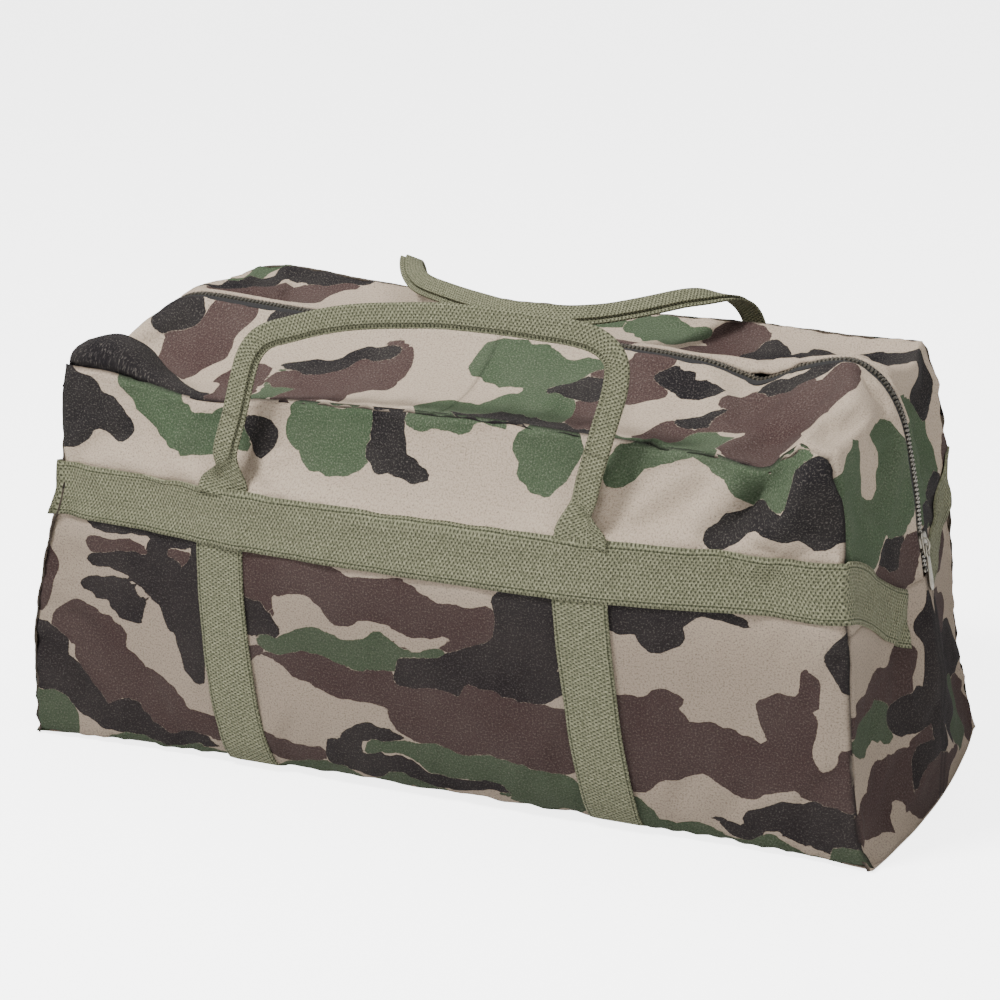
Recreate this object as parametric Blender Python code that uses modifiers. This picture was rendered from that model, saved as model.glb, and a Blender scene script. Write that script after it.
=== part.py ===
"""Large zip-top duffel holdall: soft panels, webbing bands, two carry handles.

Metres, +Z up. X is the long way of the bag, Y its depth, front at -Y.
The underside of the bag is on z = 0.
"""
import math

import bmesh
import bpy
from mathutils import Matrix, Vector

# ---- driving dimensions ----
HALF_LEN_BOTTOM = 0.380
HALF_LEN_TOP = 0.335
HALF_DEPTH_BOTTOM = 0.165
HALF_DEPTH_TOP = 0.155
SEAM_HEIGHT = 0.340
RIDGE_HEIGHT = 0.374
FRONT_CROWN = 0.022
CLOTH = 0.0025
SEAM_IN = 0.0034

END_MID_BOTTOM = 0.392
END_MID_SPLIT = 0.382
END_SLOPE = -0.19
SPLIT_LINE = 0.180
END_SPLIT = 0.197
CORNER_SMALL = 0.008
CORNER_GROW = 0.040
FLAP_HALF = 0.290

WEB_WIDTH = 0.050
WEB_THICK = 0.0020
WEB_GAP = 0.0005
STRAP_X = 0.165
BAND_LOW = 0.205
BAND_HIGH = 0.255
BAND_END_Y = 0.036
BAND_DROOP = 0.050
CHANNEL = 0.0026

ZIP_CLOTH_EDGE = 0.0070
TOOTH_IN = 0.0007
TOOTH_OUT = 0.0037
TOOTH_TOP = -0.0019
TOOTH_THICK = 0.0030
TAPE_IN = 0.00405
TAPE_OUT = 0.0160
TAPE_TOP = -0.0029
TAPE_THICK = 0.0010

SLIDER_Z = 0.222
SLIDER_LEN = 0.020
SLIDER_HALF = 0.0058
PULL_LEN = 0.040
PULL_HALF = 0.0052

HANDLE_Y = 0.1785
HANDLE_WIDTH = 0.025
HANDLE_THICK = 0.0045
LEG_LOW = 0.2585
LEG_HIGH = 0.372
ARM_LOW = 0.3765
ARM_RADIUS = 0.035
GRIP_HINGE_Z = 0.3745
REAR_LEAN = 70.0

for old in list(bpy.data.objects):
    bpy.data.objects.remove(old)

bag = bpy.data.collections.new("duffel_bag")
bpy.context.scene.collection.children.link(bag)
tools = bpy.data.collections.new("cutters")
bpy.context.scene.collection.children.link(tools)


# ---- helpers ----
def clamp(value, low=0.0, high=1.0):
    return max(low, min(high, value))


def give_material(obj, colour, rough, metal=0.0):
    mat = bpy.data.materials.new(obj.name + "_mat")
    mat.use_nodes = True
    shader = mat.node_tree.nodes["Principled BSDF"]
    shader.inputs["Base Color"].default_value = (*colour, 1.0)
    shader.inputs["Roughness"].default_value = rough
    shader.inputs["Metallic"].default_value = metal
    obj.data.materials.append(mat)


def add_object(name, bm, colour, rough, metal=0.0, where=None):
    mesh = bpy.data.meshes.new(name)
    bm.to_mesh(mesh)
    bm.free()
    obj = bpy.data.objects.new(name, mesh)
    (where or bag).objects.link(obj)
    give_material(obj, colour, rough, metal)
    return obj


def steps(low, high, count):
    return [low + (high - low) * i / count for i in range(count + 1)]


def sheet(name, surface, us, vs, thick, colour, rough=0.9, metal=0.0):
    """A grid laid on surface(u, v), thickened away from its outer face."""
    nu = len(us) - 1
    nv = len(vs) - 1
    bm = bmesh.new()
    bmesh.ops.create_grid(bm, x_segments=nu, y_segments=nv, size=0.5)
    for vert in bm.verts:
        i = round((vert.co.x + 0.5) * nu)
        j = round((vert.co.y + 0.5) * nv)
        vert.co = Vector(surface(us[i], vs[j]))
    obj = add_object(name, bm, colour, rough, metal)
    solid = obj.modifiers.new("thickness", "SOLIDIFY")
    solid.thickness = thick
    solid.offset = -1.0
    solid.use_even_offset = True
    return obj


def lifted(surface, distance):
    """The same surface moved along its own outward normal."""
    def moved(u, v):
        h = 0.0004
        du = Vector(surface(u + h, v)) - Vector(surface(u - h, v))
        dv = Vector(surface(u, v + h)) - Vector(surface(u, v - h))
        normal = du.cross(dv).normalized()
        return Vector(surface(u, v)) + normal * distance
    return moved


def turned(surface):
    """Half a turn about Z."""
    def spun(u, v):
        x, y, z = surface(u, v)
        return (-x, -y, z)
    return spun


# ---- bag form ----
def half_len(z):
    return HALF_LEN_BOTTOM + (HALF_LEN_TOP - HALF_LEN_BOTTOM) * clamp(z / SEAM_HEIGHT)


def half_depth(z):
    return HALF_DEPTH_BOTTOM + (HALF_DEPTH_TOP - HALF_DEPTH_BOTTOM) * clamp(z / SEAM_HEIGHT)


def front_y(x, z):
    across = x / half_len(z)
    rise = math.sin(math.pi * clamp(z / SEAM_HEIGHT))
    return -(half_depth(z) + FRONT_CROWN * (1.0 - across * across) * rise)


def end_mid_x(z):
    if z < SPLIT_LINE:
        return END_MID_BOTTOM - (END_MID_BOTTOM - END_MID_SPLIT) * (z / SPLIT_LINE) ** 2
    return END_MID_SPLIT + END_SLOPE * (z - SPLIT_LINE)


def end_x(y, z):
    s = y / half_depth(z)
    return half_len(z) + (end_mid_x(z) - half_len(z)) * (1.0 - s * s)


def top_z(y):
    s = y / HALF_DEPTH_TOP
    return SEAM_HEIGHT + (RIDGE_HEIGHT - SEAM_HEIGHT) * (1.0 - s * s)


def end_path(y, w):
    """Upper end and rounded corner at depth y: w runs 0 to 1, low to top."""
    s = y / HALF_DEPTH_TOP
    radius = CORNER_SMALL + CORNER_GROW * (1.0 - s * s)
    zc = top_z(y)
    xc = end_x(y, zc)
    low_z = zc - radius
    high_x = xc - 1.1 * radius
    if w <= 0.4:
        z = END_SPLIT + 0.0015 + (low_z - END_SPLIT - 0.0015) * w / 0.4
        return (end_x(y, z), z)
    if w <= 0.85:
        t = (w - 0.4) / 0.45
        a = (1 - t) ** 2
        b = 2 * t * (1 - t)
        c = t * t
        return (a * end_x(y, low_z) + b * xc + c * high_x, a * low_z + b * zc + c * zc)
    t = (w - 0.85) / 0.15
    return (high_x + (FLAP_HALF + 0.0015 - high_x) * t, zc)


def channel_z(x):
    """Shallow step in the underside where a strap runs."""
    away = abs(abs(x) - STRAP_X)
    return CHANNEL * clamp((WEB_WIDTH / 2 + 0.010 - away) / 0.008)


CLOTH_A = (0.47, 0.40, 0.31)
CLOTH_B = (0.10, 0.17, 0.10)
CLOTH_C = (0.20, 0.13, 0.10)
OLIVE = (0.13, 0.14, 0.08)
METAL = (0.72, 0.71, 0.68)
TAPE = (0.05, 0.05, 0.045)

STEP_X = [0.1300, 0.1380, 0.1920, 0.2000]
PANEL_X = [0.0, 0.065] + STEP_X + [0.255, 0.310]
PANEL_X = sorted([-x for x in PANEL_X if x > 0] + PANEL_X)


def bottom_surface(u, v):
    y = -v * (half_depth(0) - SEAM_IN)
    if abs(u) < 0.35:
        return (u, y, channel_z(u))
    return (math.copysign(end_x(y, 0) - 0.0042, u), y, 0.0)


sheet("bottom_panel", bottom_surface, [-0.38] + PANEL_X + [0.38],
      steps(-1, 1, 4), CLOTH, CLOTH_C)


def front_surface(u, v):
    low = channel_z(u) if abs(u) < 0.35 else 0.0
    z = low + (SEAM_HEIGHT - 0.0003 - low) * v
    if abs(u) > 0.35:
        x = math.copysign(half_len(z), u)
    else:
        x = u * (1.0 - 0.55 * v * (1.0 - half_len(z) / HALF_LEN_BOTTOM))
    return (x, front_y(x, z), z)


FRONT_V = [0.0, 0.12, 0.25, 0.38, 0.5, 0.62, 0.75, 0.88, 1.0]
sheet("front_panel", front_surface, [-0.38] + PANEL_X + [0.38], FRONT_V, CLOTH, CLOTH_A)
sheet("back_panel", turned(front_surface), [-0.38] + PANEL_X + [0.38], FRONT_V,
      CLOTH, CLOTH_A)


def end_low_surface(u, v):
    z = END_SPLIT * v
    y = u * (half_depth(z) - SEAM_IN)
    return (end_x(y, z), y, z)


sheet("right_end_lower", end_low_surface, steps(-1, 1, 8), steps(0, 1, 5), CLOTH, CLOTH_A)
sheet("left_end_lower", turned(end_low_surface), steps(-1, 1, 8), steps(0, 1, 5),
      CLOTH, CLOTH_A)


def end_high_surface(u, v):
    """u is depth as a share, 0 at the zip to -1 at the front seam."""
    x, z = end_path(0.0, v)
    limit = half_depth(min(z, SEAM_HEIGHT)) - SEAM_IN
    y = -(ZIP_CLOTH_EDGE + (limit - ZIP_CLOTH_EDGE) * -u)
    x, z = end_path(y, v)
    return (x, y, z)


def end_high_rear(u, v):
    x, y, z = end_high_surface(-u, v)
    return (x, -y, z)


HIGH_V = [0.0, 0.13, 0.27, 0.4, 0.475, 0.55, 0.625, 0.70, 0.775, 0.85, 1.0]
sheet("right_end_front", end_high_surface, steps(-1, 0, 5), HIGH_V, CLOTH, CLOTH_B)
sheet("right_end_rear", end_high_rear, steps(0, 1, 5), HIGH_V, CLOTH, CLOTH_B)
sheet("left_end_front", turned(end_high_rear), steps(0, 1, 5), HIGH_V, CLOTH, CLOTH_B)
sheet("left_end_rear", turned(end_high_surface), steps(-1, 0, 5), HIGH_V, CLOTH, CLOTH_B)


def flap_surface(u, v):
    """v is depth as a share, -1 at the front seam to 0 at the zip."""
    y = -(ZIP_CLOTH_EDGE + (HALF_DEPTH_TOP - SEAM_IN - ZIP_CLOTH_EDGE) * -v)
    return (u, y, top_z(y))


sheet("front_flap", flap_surface, steps(-FLAP_HALF, FLAP_HALF, 8), steps(-1, 0, 6),
      CLOTH, CLOTH_B)
sheet("rear_top", turned(flap_surface), steps(-FLAP_HALF, FLAP_HALF, 8), steps(-1, 0, 6),
      CLOTH, CLOTH_B)


# ---- zip: tape and tooth rows ----
def top_strip(near, far, lift):
    def base(u, v):
        return (u, v, top_z(v))
    return lifted(base, lift), [-FLAP_HALF, 0.0, FLAP_HALF], [-far, -near]


def end_strip(near, far, lift):
    def base(u, v):
        x, z = end_path(u, v)
        return (x, u, z)
    first = 0.016 if far < TAPE_IN else 0.002
    return lifted(base, lift), [-far, -near], [first] + HIGH_V[1:-1] + [0.999]


def zip_run(label, near, far, lift, thick, colour, rough, metal):
    surface, us, vs = top_strip(near, far, lift)
    sheet("front_" + label, surface, us, vs, thick, colour, rough, metal)
    sheet("rear_" + label, turned(surface), us, vs, thick, colour, rough, metal)
    surface, us, vs = end_strip(near, far, lift)
    back = [-u for u in reversed(us)]
    sheet("right_" + label + "_front", surface, us, vs, thick, colour, rough, metal)
    sheet("right_" + label + "_rear", surface, back, vs, thick, colour, rough, metal)
    sheet("left_" + label + "_rear", turned(surface), us, vs, thick, colour, rough, metal)
    sheet("left_" + label + "_front", turned(surface), back, vs, thick, colour, rough, metal)


zip_run("zip_tape", TAPE_IN, TAPE_OUT, TAPE_TOP, TAPE_THICK, TAPE, 0.85, 0.0)
zip_run("zip_teeth", TOOTH_IN, TOOTH_OUT, TOOTH_TOP, TOOTH_THICK, METAL, 0.35, 1.0)


# ---- zip slider, pull and end stops ----
run = Vector((END_SLOPE, 0.0, 1.0)).normalized()
out = Vector((run.z, 0.0, -run.x))


def zip_place(z, lift=0.0):
    """Matrix with X outward, Y across and Z up the zip, on the right end."""
    place = Matrix((out, Vector((0, 1, 0)), run)).transposed().to_4x4()
    place.translation = Vector((end_x(0.0, z), 0.0, z)) + out * lift
    return place


def prism(name, outline, length, place, colour, rough, metal, bevel=0.0):
    """outline is (outward, across) points, drawn the length of the local Z."""
    bm = bmesh.new()
    base = [bm.verts.new((a, b, -length / 2)) for a, b in outline]
    face = bm.faces.new(base)
    made = bmesh.ops.extrude_face_region(bm, geom=[face])
    top = [v for v in made["geom"] if isinstance(v, bmesh.types.BMVert)]
    bmesh.ops.translate(bm, vec=(0, 0, length), verts=top)
    bmesh.ops.recalc_face_normals(bm, faces=bm.faces)
    bmesh.ops.transform(bm, matrix=place, verts=bm.verts)
    obj = add_object(name, bm, colour, rough, metal)
    if bevel:
        edge = obj.modifiers.new("edge", "BEVEL")
        edge.width = bevel
        edge.segments = 2
        edge.limit_method = "ANGLE"
    return obj


def box(name, size, place, colour, rough=0.5, metal=0.0, where=None):
    bm = bmesh.new()
    bmesh.ops.create_cube(bm, size=1.0)
    bmesh.ops.scale(bm, vec=size, verts=bm.verts)
    bmesh.ops.transform(bm, matrix=place, verts=bm.verts)
    return add_object(name, bm, colour, rough, metal, where)


PLATE_OUT = 0.0005
half_profile = [
    (PLATE_OUT, SLIDER_HALF),
    (-0.0025, SLIDER_HALF),
    (-0.0025, 0.0043),
    (-0.0015, 0.0043),
    (-0.0015, 0.00035),
    (-0.0053, 0.00035),
    (-0.0053, 0.0043),
    (-0.0043, 0.0043),
    (-0.0043, SLIDER_HALF),
    (-0.0073, SLIDER_HALF),
]
profile = half_profile + [(a, -b) for a, b in reversed(half_profile)]
slider = prism("zip_slider", profile, SLIDER_LEN, zip_place(SLIDER_Z), METAL, 0.3, 1.0)


def join(obj, tool):
    for old in list(tool.users_collection):
        old.objects.unlink(tool)
    tools.objects.link(tool)
    tool.hide_render = True
    tool.display_type = "WIRE"
    made = obj.modifiers.new("join_" + tool.name, "BOOLEAN")
    made.object = tool
    made.operation = "UNION"
    made.solver = "EXACT"


for tag, along in (("low", -0.0052), ("high", 0.0052)):
    shift = Matrix.Translation((0.0021, 0.0, along))
    join(slider, box("bail_post_" + tag, (0.0050, 0.0026, 0.0022),
                     zip_place(SLIDER_Z) @ shift, METAL))
join(slider, box("bail_top", (0.0014, 0.0030, 0.0130),
                 zip_place(SLIDER_Z) @ Matrix.Translation((0.0046, 0.0, 0.0)), METAL))

# pull: its top bar runs through the bail, the tab hangs below
PULL_LIFT = 0.00225
pull_outline = [
    (-0.0012, PULL_HALF),
    (-PULL_LEN, PULL_HALF * 0.8),
    (-PULL_LEN, -PULL_HALF * 0.8),
    (-0.0012, -PULL_HALF),
    (0.0009, -PULL_HALF),
    (0.0009, PULL_HALF),
]
spin = zip_place(SLIDER_Z, PULL_LIFT) @ Matrix.Rotation(math.radians(-90), 4, "Y")
pull = prism("zip_pull", pull_outline, 0.0016, spin, METAL, 0.3, 1.0)
slot = box("pull_slot", (0.0110, 0.0052, 0.006),
           spin @ Matrix.Translation((-0.0064, 0.0, 0.0)), METAL, where=tools)
slot.hide_render = True
slot.display_type = "WIRE"
cut = pull.modifiers.new("slot", "BOOLEAN")
cut.object = slot
cut.operation = "DIFFERENCE"
cut.solver = "EXACT"

stop_outline = [(-0.0010, -0.0037), (-0.0010, 0.0037), (-0.0058, 0.0037), (-0.0058, -0.0037)]
right_stop = zip_place(0.2004)
prism("right_zip_stop", stop_outline, 0.0032, right_stop, METAL, 0.35, 1.0, bevel=0.0004)
prism("left_zip_stop", stop_outline, 0.0032,
      Matrix.Rotation(math.pi, 4, "Z") @ right_stop, METAL, 0.35, 1.0, bevel=0.0004)


# ---- webbing bands and straps ----
BAND_Z = steps(BAND_LOW, BAND_HIGH, 4)
OFF = WEB_GAP + WEB_THICK


def band_front(u, v):
    x = u * (half_len(v) + OFF)
    return (x, front_y(clamp(x, -half_len(v), half_len(v)), v) - OFF, v)


def band_end(u, v):
    """u is 0 at the corner to 1 at the cut end, which sags beside the zip."""
    y = -(BAND_END_Y + (half_depth(v) - BAND_END_Y) * (1.0 - u))
    z = v - BAND_DROOP * u ** 0.85
    return (end_x(y, z) + OFF, y, z)


def band_end_rear(u, v):
    x, y, z = band_end(-u, v)
    return (x, -y, z)


BAND_U = steps(-1, 1, 16)
sheet("front_band", band_front, BAND_U, BAND_Z, WEB_THICK, OLIVE)
sheet("rear_band", turned(band_front), BAND_U, BAND_Z, WEB_THICK, OLIVE)
sheet("right_band_front", band_end, steps(0, 1, 5), BAND_Z, WEB_THICK, OLIVE)
sheet("right_band_rear", band_end_rear, steps(-1, 0, 5), BAND_Z, WEB_THICK, OLIVE)
sheet("left_band_front", turned(band_end_rear), steps(-1, 0, 5), BAND_Z, WEB_THICK, OLIVE)
sheet("left_band_rear", turned(band_end), steps(0, 1, 5), BAND_Z, WEB_THICK, OLIVE)

STRAP_V = [0.0] + steps(0.004, BAND_LOW - 0.0008, 8)


def strap_rise(centre):
    def surface(u, v):
        x = centre + u * WEB_WIDTH / 2
        return (x, front_y(x, v) - OFF, v)
    return surface


def strap_under(centre):
    def surface(u, v):
        reach = half_depth(0) + WEB_GAP - 0.0003
        return (centre + u * WEB_WIDTH / 2, -v * reach, 0.0)
    return surface


for side, centre in (("left", -STRAP_X), ("right", STRAP_X)):
    sheet(side + "_strap_front", strap_rise(centre), [-1, 0, 1], STRAP_V, WEB_THICK, OLIVE)
    sheet(side + "_strap_rear", turned(strap_rise(-centre)), [-1, 0, 1], STRAP_V,
          WEB_THICK, OLIVE)
    sheet(side + "_strap_under", strap_under(centre), [-1, 0, 1], [-1, 0, 1],
          WEB_THICK, OLIVE)


# ---- carry handles ----
FACE = HANDLE_Y + HANDLE_THICK / 2
GRIP_Z = ARM_LOW + ARM_RADIUS


def leg_surface(u, v):
    return (u, -FACE, v)


def arm_surface(u, v):
    """u across the webbing, v the turn from upright to level."""
    reach = ARM_RADIUS - u
    turn = v * math.pi / 2
    return (STRAP_X - ARM_RADIUS + reach * math.cos(turn), -FACE,
            ARM_LOW + reach * math.sin(turn))


def arm_left(u, v):
    x, y, z = arm_surface(u, v)
    return (-x, y, z)


def leaning(surface):
    """Half a turn about Z, then tipped inwards about the rear grip's hinge line."""
    tip = math.radians(REAR_LEAN)

    def tipped(u, v):
        x, y, z = turned(surface)(u, v)
        dy = y - HANDLE_Y
        dz = z - GRIP_HINGE_Z
        return (x, HANDLE_Y + dy * math.cos(tip) - dz * math.sin(tip),
                GRIP_HINGE_Z + dy * math.sin(tip) + dz * math.cos(tip))
    return tipped


def as_is(surface):
    return surface


HALF_W = HANDLE_WIDTH / 2
GRIP_HALF = STRAP_X - ARM_RADIUS - 0.0004
for side, spun in (("front", False), ("rear", True)):
    wrap = turned if spun else as_is
    over = leaning if spun else as_is
    for tag, centre in (("left", -STRAP_X), ("right", STRAP_X)):
        at = -centre if spun else centre
        sheet(side + "_leg_" + tag, wrap(leg_surface), [at - HALF_W, at + HALF_W],
              [LEG_LOW, LEG_HIGH], HANDLE_THICK, OLIVE)
        inward = at > 0
        arm = arm_surface if inward else arm_left
        us = [HALF_W, -HALF_W] if inward else [-HALF_W, HALF_W]
        sheet(side + "_arm_" + tag, over(arm), us, steps(0, 1, 6),
              HANDLE_THICK, OLIVE)
    sheet(side + "_grip", over(leg_surface), [-GRIP_HALF, 0.0, GRIP_HALF],
          [GRIP_Z - HALF_W, GRIP_Z + HALF_W], HANDLE_THICK, OLIVE)
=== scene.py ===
import math

import bmesh
import bpy
import numpy as np
from mathutils import Matrix, Vector


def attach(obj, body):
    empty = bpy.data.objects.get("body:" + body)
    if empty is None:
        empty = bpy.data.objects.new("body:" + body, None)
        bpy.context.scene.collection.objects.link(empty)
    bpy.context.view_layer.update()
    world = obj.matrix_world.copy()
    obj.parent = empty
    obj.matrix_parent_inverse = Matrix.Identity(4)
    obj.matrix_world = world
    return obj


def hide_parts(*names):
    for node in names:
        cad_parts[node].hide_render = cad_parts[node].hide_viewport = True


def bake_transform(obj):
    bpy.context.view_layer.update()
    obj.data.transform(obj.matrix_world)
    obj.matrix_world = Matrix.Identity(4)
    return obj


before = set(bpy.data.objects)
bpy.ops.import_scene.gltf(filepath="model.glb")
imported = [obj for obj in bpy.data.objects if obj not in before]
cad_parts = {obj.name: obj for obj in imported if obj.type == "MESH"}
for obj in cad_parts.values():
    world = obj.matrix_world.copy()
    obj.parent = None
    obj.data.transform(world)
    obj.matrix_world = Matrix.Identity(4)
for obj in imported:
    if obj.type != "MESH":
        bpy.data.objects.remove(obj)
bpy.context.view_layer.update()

# ------------------------------------------------------------------ helpers


def curve(keys, t):
    """Smooth values through (t, value) keys, as a cubic with flat-ish ends."""
    k = np.array(keys, float)
    x = k[:, 0]
    y = k[:, 1:]
    d = np.diff(y, axis=0) / np.diff(x)[:, None]
    m = np.vstack([d[:1], (d[:-1] + d[1:]) / 2, d[-1:]])
    flat = np.vstack([np.zeros((1, y.shape[1]), bool), d[:-1] * d[1:] <= 0,
                      np.zeros((1, y.shape[1]), bool)])
    m = np.where(flat, m * 0.35, m)
    t = np.clip(np.asarray(t, float), x[0], x[-1])
    i = np.clip(np.searchsorted(x, t, side="right") - 1, 0, len(x) - 2)
    h = x[i + 1] - x[i]
    s = ((t - x[i]) / h)[..., None]
    h = h[..., None]
    out = ((2 * s ** 3 - 3 * s ** 2 + 1) * y[i] + (s ** 3 - 2 * s ** 2 + s) * h * m[i]
           + (-2 * s ** 3 + 3 * s ** 2) * y[i + 1] + (s ** 3 - s ** 2) * h * m[i + 1])
    return out[..., 0] if y.shape[1] == 1 else out


def ease(x, a, b):
    t = np.clip((x - a) / (b - a), 0, 1)
    return t * t * (3 - 2 * t)


def bump(x, centre, width):
    return np.exp(-((x - centre) / width) ** 2)


class Ripple:
    """Smooth repeatable noise: a sum of waves in seeded directions."""

    def __init__(self, seed, size, waves=9):
        r = np.random.default_rng(seed)
        a = r.uniform(0, 2 * math.pi, waves)
        k = 2 * math.pi / (size * r.uniform(0.6, 1.8, waves))
        self.k = np.stack([np.cos(a) * k, np.sin(a) * k], 1)
        self.f = r.uniform(0, 2 * math.pi, waves)
        self.gain = 1 / math.sqrt(waves / 2)

    def __call__(self, x, y):
        total = 0.0
        for (kx, ky), f in zip(self.k, self.f):
            total = total + np.sin(kx * x + ky * y + f)
        return total * self.gain


def coons(bottom, top, left, right, u, v):
    """Surface between four edge curves. bottom, top take u in -1..1, left, right take v in 0..1."""
    s = ((u + 1) / 2)[..., None]
    w = v[..., None]
    one = np.ones(1)
    c00 = bottom(-one)[0]
    c10 = bottom(one)[0]
    c01 = top(-one)[0]
    c11 = top(one)[0]
    return ((1 - w) * bottom(u) + w * top(u) + (1 - s) * left(v) + s * right(v)
            - (1 - s) * (1 - w) * c00 - s * (1 - w) * c10 - (1 - s) * w * c01 - s * w * c11)


# ------------------------------------------------------------------ the bag's form
# Edges of the body in metres, read as a soft, filled bag. SEAM is the top edge in front and REAR the
# one behind, over u = -1..1. EDGE is an upright edge over v = 0..1: front right, left, back right.
# MID is the line of the zip: share of the way from the right foot over the top to the left, x, z.

NU, NV, ND = 76, 38, 34
SEAM_Z = [(-1, 0.343), (-0.88, 0.341), (-0.77, 0.334), (-0.64, 0.327), (-0.4, 0.336), (-0.1, 0.339),
          (0.13, 0.340), (0.4, 0.336), (0.55, 0.334), (0.7, 0.330), (0.83, 0.323), (0.93, 0.350),
          (1, 0.342)]
SEAM_Y = [(-1, 0.158), (-0.88, 0.155), (-0.76, 0.151), (-0.5, 0.156), (0, 0.156), (0.5, 0.158),
          (0.83, 0.150), (0.93, 0.165), (1, 0.158)]
REAR_Z = [(-1, 0.353), (-0.93, 0.366), (-0.82, 0.373), (-0.6, 0.367), (-0.2, 0.361), (0.2, 0.361),
          (0.5, 0.363), (0.66, 0.361), (0.84, 0.358), (1, 0.357)]
EDGE_RX = [(0, 0.387), (0.08, 0.378), (0.18, 0.373), (0.43, 0.366), (0.62, 0.362), (0.81, 0.356),
           (0.91, 0.352), (1, 0.342)]
EDGE_LX = [(0, 0.386), (0.1, 0.385), (0.25, 0.383), (0.36, 0.379), (0.5, 0.370), (0.6, 0.361),
           (0.7, 0.353), (0.8, 0.350), (0.92, 0.349), (1, 0.345)]
EDGE_BX = [(0, 0.382), (0.12, 0.371), (0.20, 0.364), (0.31, 0.357), (0.46, 0.354), (0.62, 0.350),
           (0.85, 0.341), (0.93, 0.335), (1, 0.325)]
EDGE_Y = [(0, 0.167), (0.08, 0.170), (0.3, 0.172), (0.55, 0.168), (0.75, 0.164), (1, 0.158)]
MID = [(0, 0.398, 0.001), (0.07, 0.396, 0.095), (0.13, 0.383, 0.177), (0.163, 0.3725, 0.222),
       (0.196, 0.3668, 0.266), (0.222, 0.3600, 0.302), (0.24, 0.352, 0.334), (0.256, 0.336, 0.359),
       (0.277, 0.305, 0.3755), (0.305, 0.268, 0.366), (0.335, 0.229, 0.354), (0.37, 0.180, 0.361),
       (0.43, 0.100, 0.366), (0.5, 0.0, 0.368), (0.57, -0.095, 0.367), (0.64, -0.185, 0.368),
       (0.69, -0.250, 0.372), (0.725, -0.298, 0.3745), (0.745, -0.325, 0.362), (0.76, -0.342, 0.338),
       (0.778, -0.3545, 0.306), (0.80, -0.3625, 0.270), (0.835, -0.372, 0.224), (0.87, -0.382, 0.177),
       (0.93, -0.394, 0.095), (1, -0.396, 0.001)]
LOW_X = 0.383
CINCH_Z = 0.231
BASE_Z = 0.0012

# Creases in the front and back: across, up, turn in degrees, half length, half width, depth (metres).
CREASES = [(-0.335, 0.175, -12, 0.034, 0.0060, 0.0040), (-0.350, 0.150, 8, 0.030, 0.0055, -0.0036),
           (-0.340, 0.118, -22, 0.042, 0.0070, 0.0038), (-0.345, 0.070, -48, 0.050, 0.0075, 0.0042),
           (-0.300, 0.050, -55, 0.044, 0.0070, -0.0030), (-0.250, 0.040, -72, 0.034, 0.0060, 0.0030),
           (-0.215, 0.060, 78, 0.050, 0.0060, 0.0026), (-0.130, 0.045, 70, 0.040, 0.0075, 0.0026),
           (-0.085, 0.030, 84, 0.026, 0.0070, -0.0024), (0.020, 0.030, 96, 0.028, 0.0070, 0.0024),
           (0.085, 0.040, 78, 0.034, 0.0075, -0.0026), (0.125, 0.050, 100, 0.040, 0.0065, 0.0028),
           (0.225, 0.045, 64, 0.040, 0.0075, 0.0028), (0.285, 0.040, 50, 0.042, 0.0075, -0.0030),
           (0.335, 0.060, 62, 0.044, 0.0070, 0.0036), (0.342, 0.150, 84, 0.050, 0.0060, 0.0042),
           (0.318, 0.175, 70, 0.036, 0.0070, -0.0030), (0.240, 0.180, 20, 0.036, 0.0080, 0.0020),
           (-0.255, 0.285, -64, 0.034, 0.0080, 0.0034), (-0.225, 0.300, -72, 0.026, 0.0070, -0.0026),
           (-0.310, 0.280, 30, 0.036, 0.0090, 0.0036), (-0.110, 0.300, 62, 0.030, 0.0090, 0.0022),
           (0.010, 0.315, 8, 0.060, 0.0100, 0.0020), (0.090, 0.300, -58, 0.030, 0.0090, 0.0024),
           (0.215, 0.290, 38, 0.044, 0.0090, 0.0040), (0.250, 0.305, 55, 0.034, 0.0080, -0.0036),
           (0.305, 0.265, 12, 0.034, 0.0080, 0.0036), (0.060, 0.150, 14, 0.060, 0.0130, 0.0016),
           (-0.080, 0.110, -10, 0.070, 0.0140, 0.0018), (0.000, 0.075, 6, 0.060, 0.0120, -0.0016)]


def folds(table, a, b, bend, echo):
    """Depth of a table of creases at (a, b): each one bends, and has a softer ridge beside it."""
    total = 0.0
    for ca, cb, turn, length, width, depth in table:
        angle = math.radians(turn)
        along = (a - ca) * math.cos(angle) + (b - cb) * math.sin(angle)
        away = -(a - ca) * math.sin(angle) + (b - cb) * math.cos(angle) + bend * along ** 2
        shape = bump(away, 0, width) - echo * bump(away, 1.9 * width, width)
        total = total + depth * bump(along, 0, length) * shape
    return total


def face_creases(x, z, v):
    """The creases of the front and back, fading out at the bottom and top seams."""
    return folds(CREASES, x, z, 8.0, 0.55) * ease(v, 0.0, 0.05) * ease(-v, -1, -0.95)


def xyz(x, y, z):
    return np.stack(np.broadcast_arrays(x, y, z), -1)


def low_edge(side):
    def f(u):
        right = 0.387 if side < 0 else 0.382
        x = LOW_X * u + (right - LOW_X) * ease(u, 0.5, 1) - 0.003 * ease(-u, 0.5, 1)
        return xyz(x, side * (0.151 + 0.016 * np.abs(u) ** 5), 0.0035 * (1 - u ** 4))
    return f


def high_edge(side):
    def f(u):
        if side < 0:
            return xyz(0.3435 * u - 0.0015 * u ** 2, -curve(SEAM_Y, u), curve(SEAM_Z, u))
        return xyz(0.335 * u - 0.010 * u ** 2, 0.158 + 0 * u, curve(REAR_Z, u))
    return f


def side_edge(side, end):
    def f(v):
        keys = EDGE_LX if end < 0 else EDGE_RX if side < 0 else EDGE_BX
        z = v * ((0.343 if end < 0 else 0.342) if side < 0 else (0.353 if end < 0 else 0.357))
        x = end * (curve(keys, v) - 0.0055 * bump(z, CINCH_Z, 0.024))
        return xyz(x, side * curve(EDGE_Y, v), z)
    return f


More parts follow.
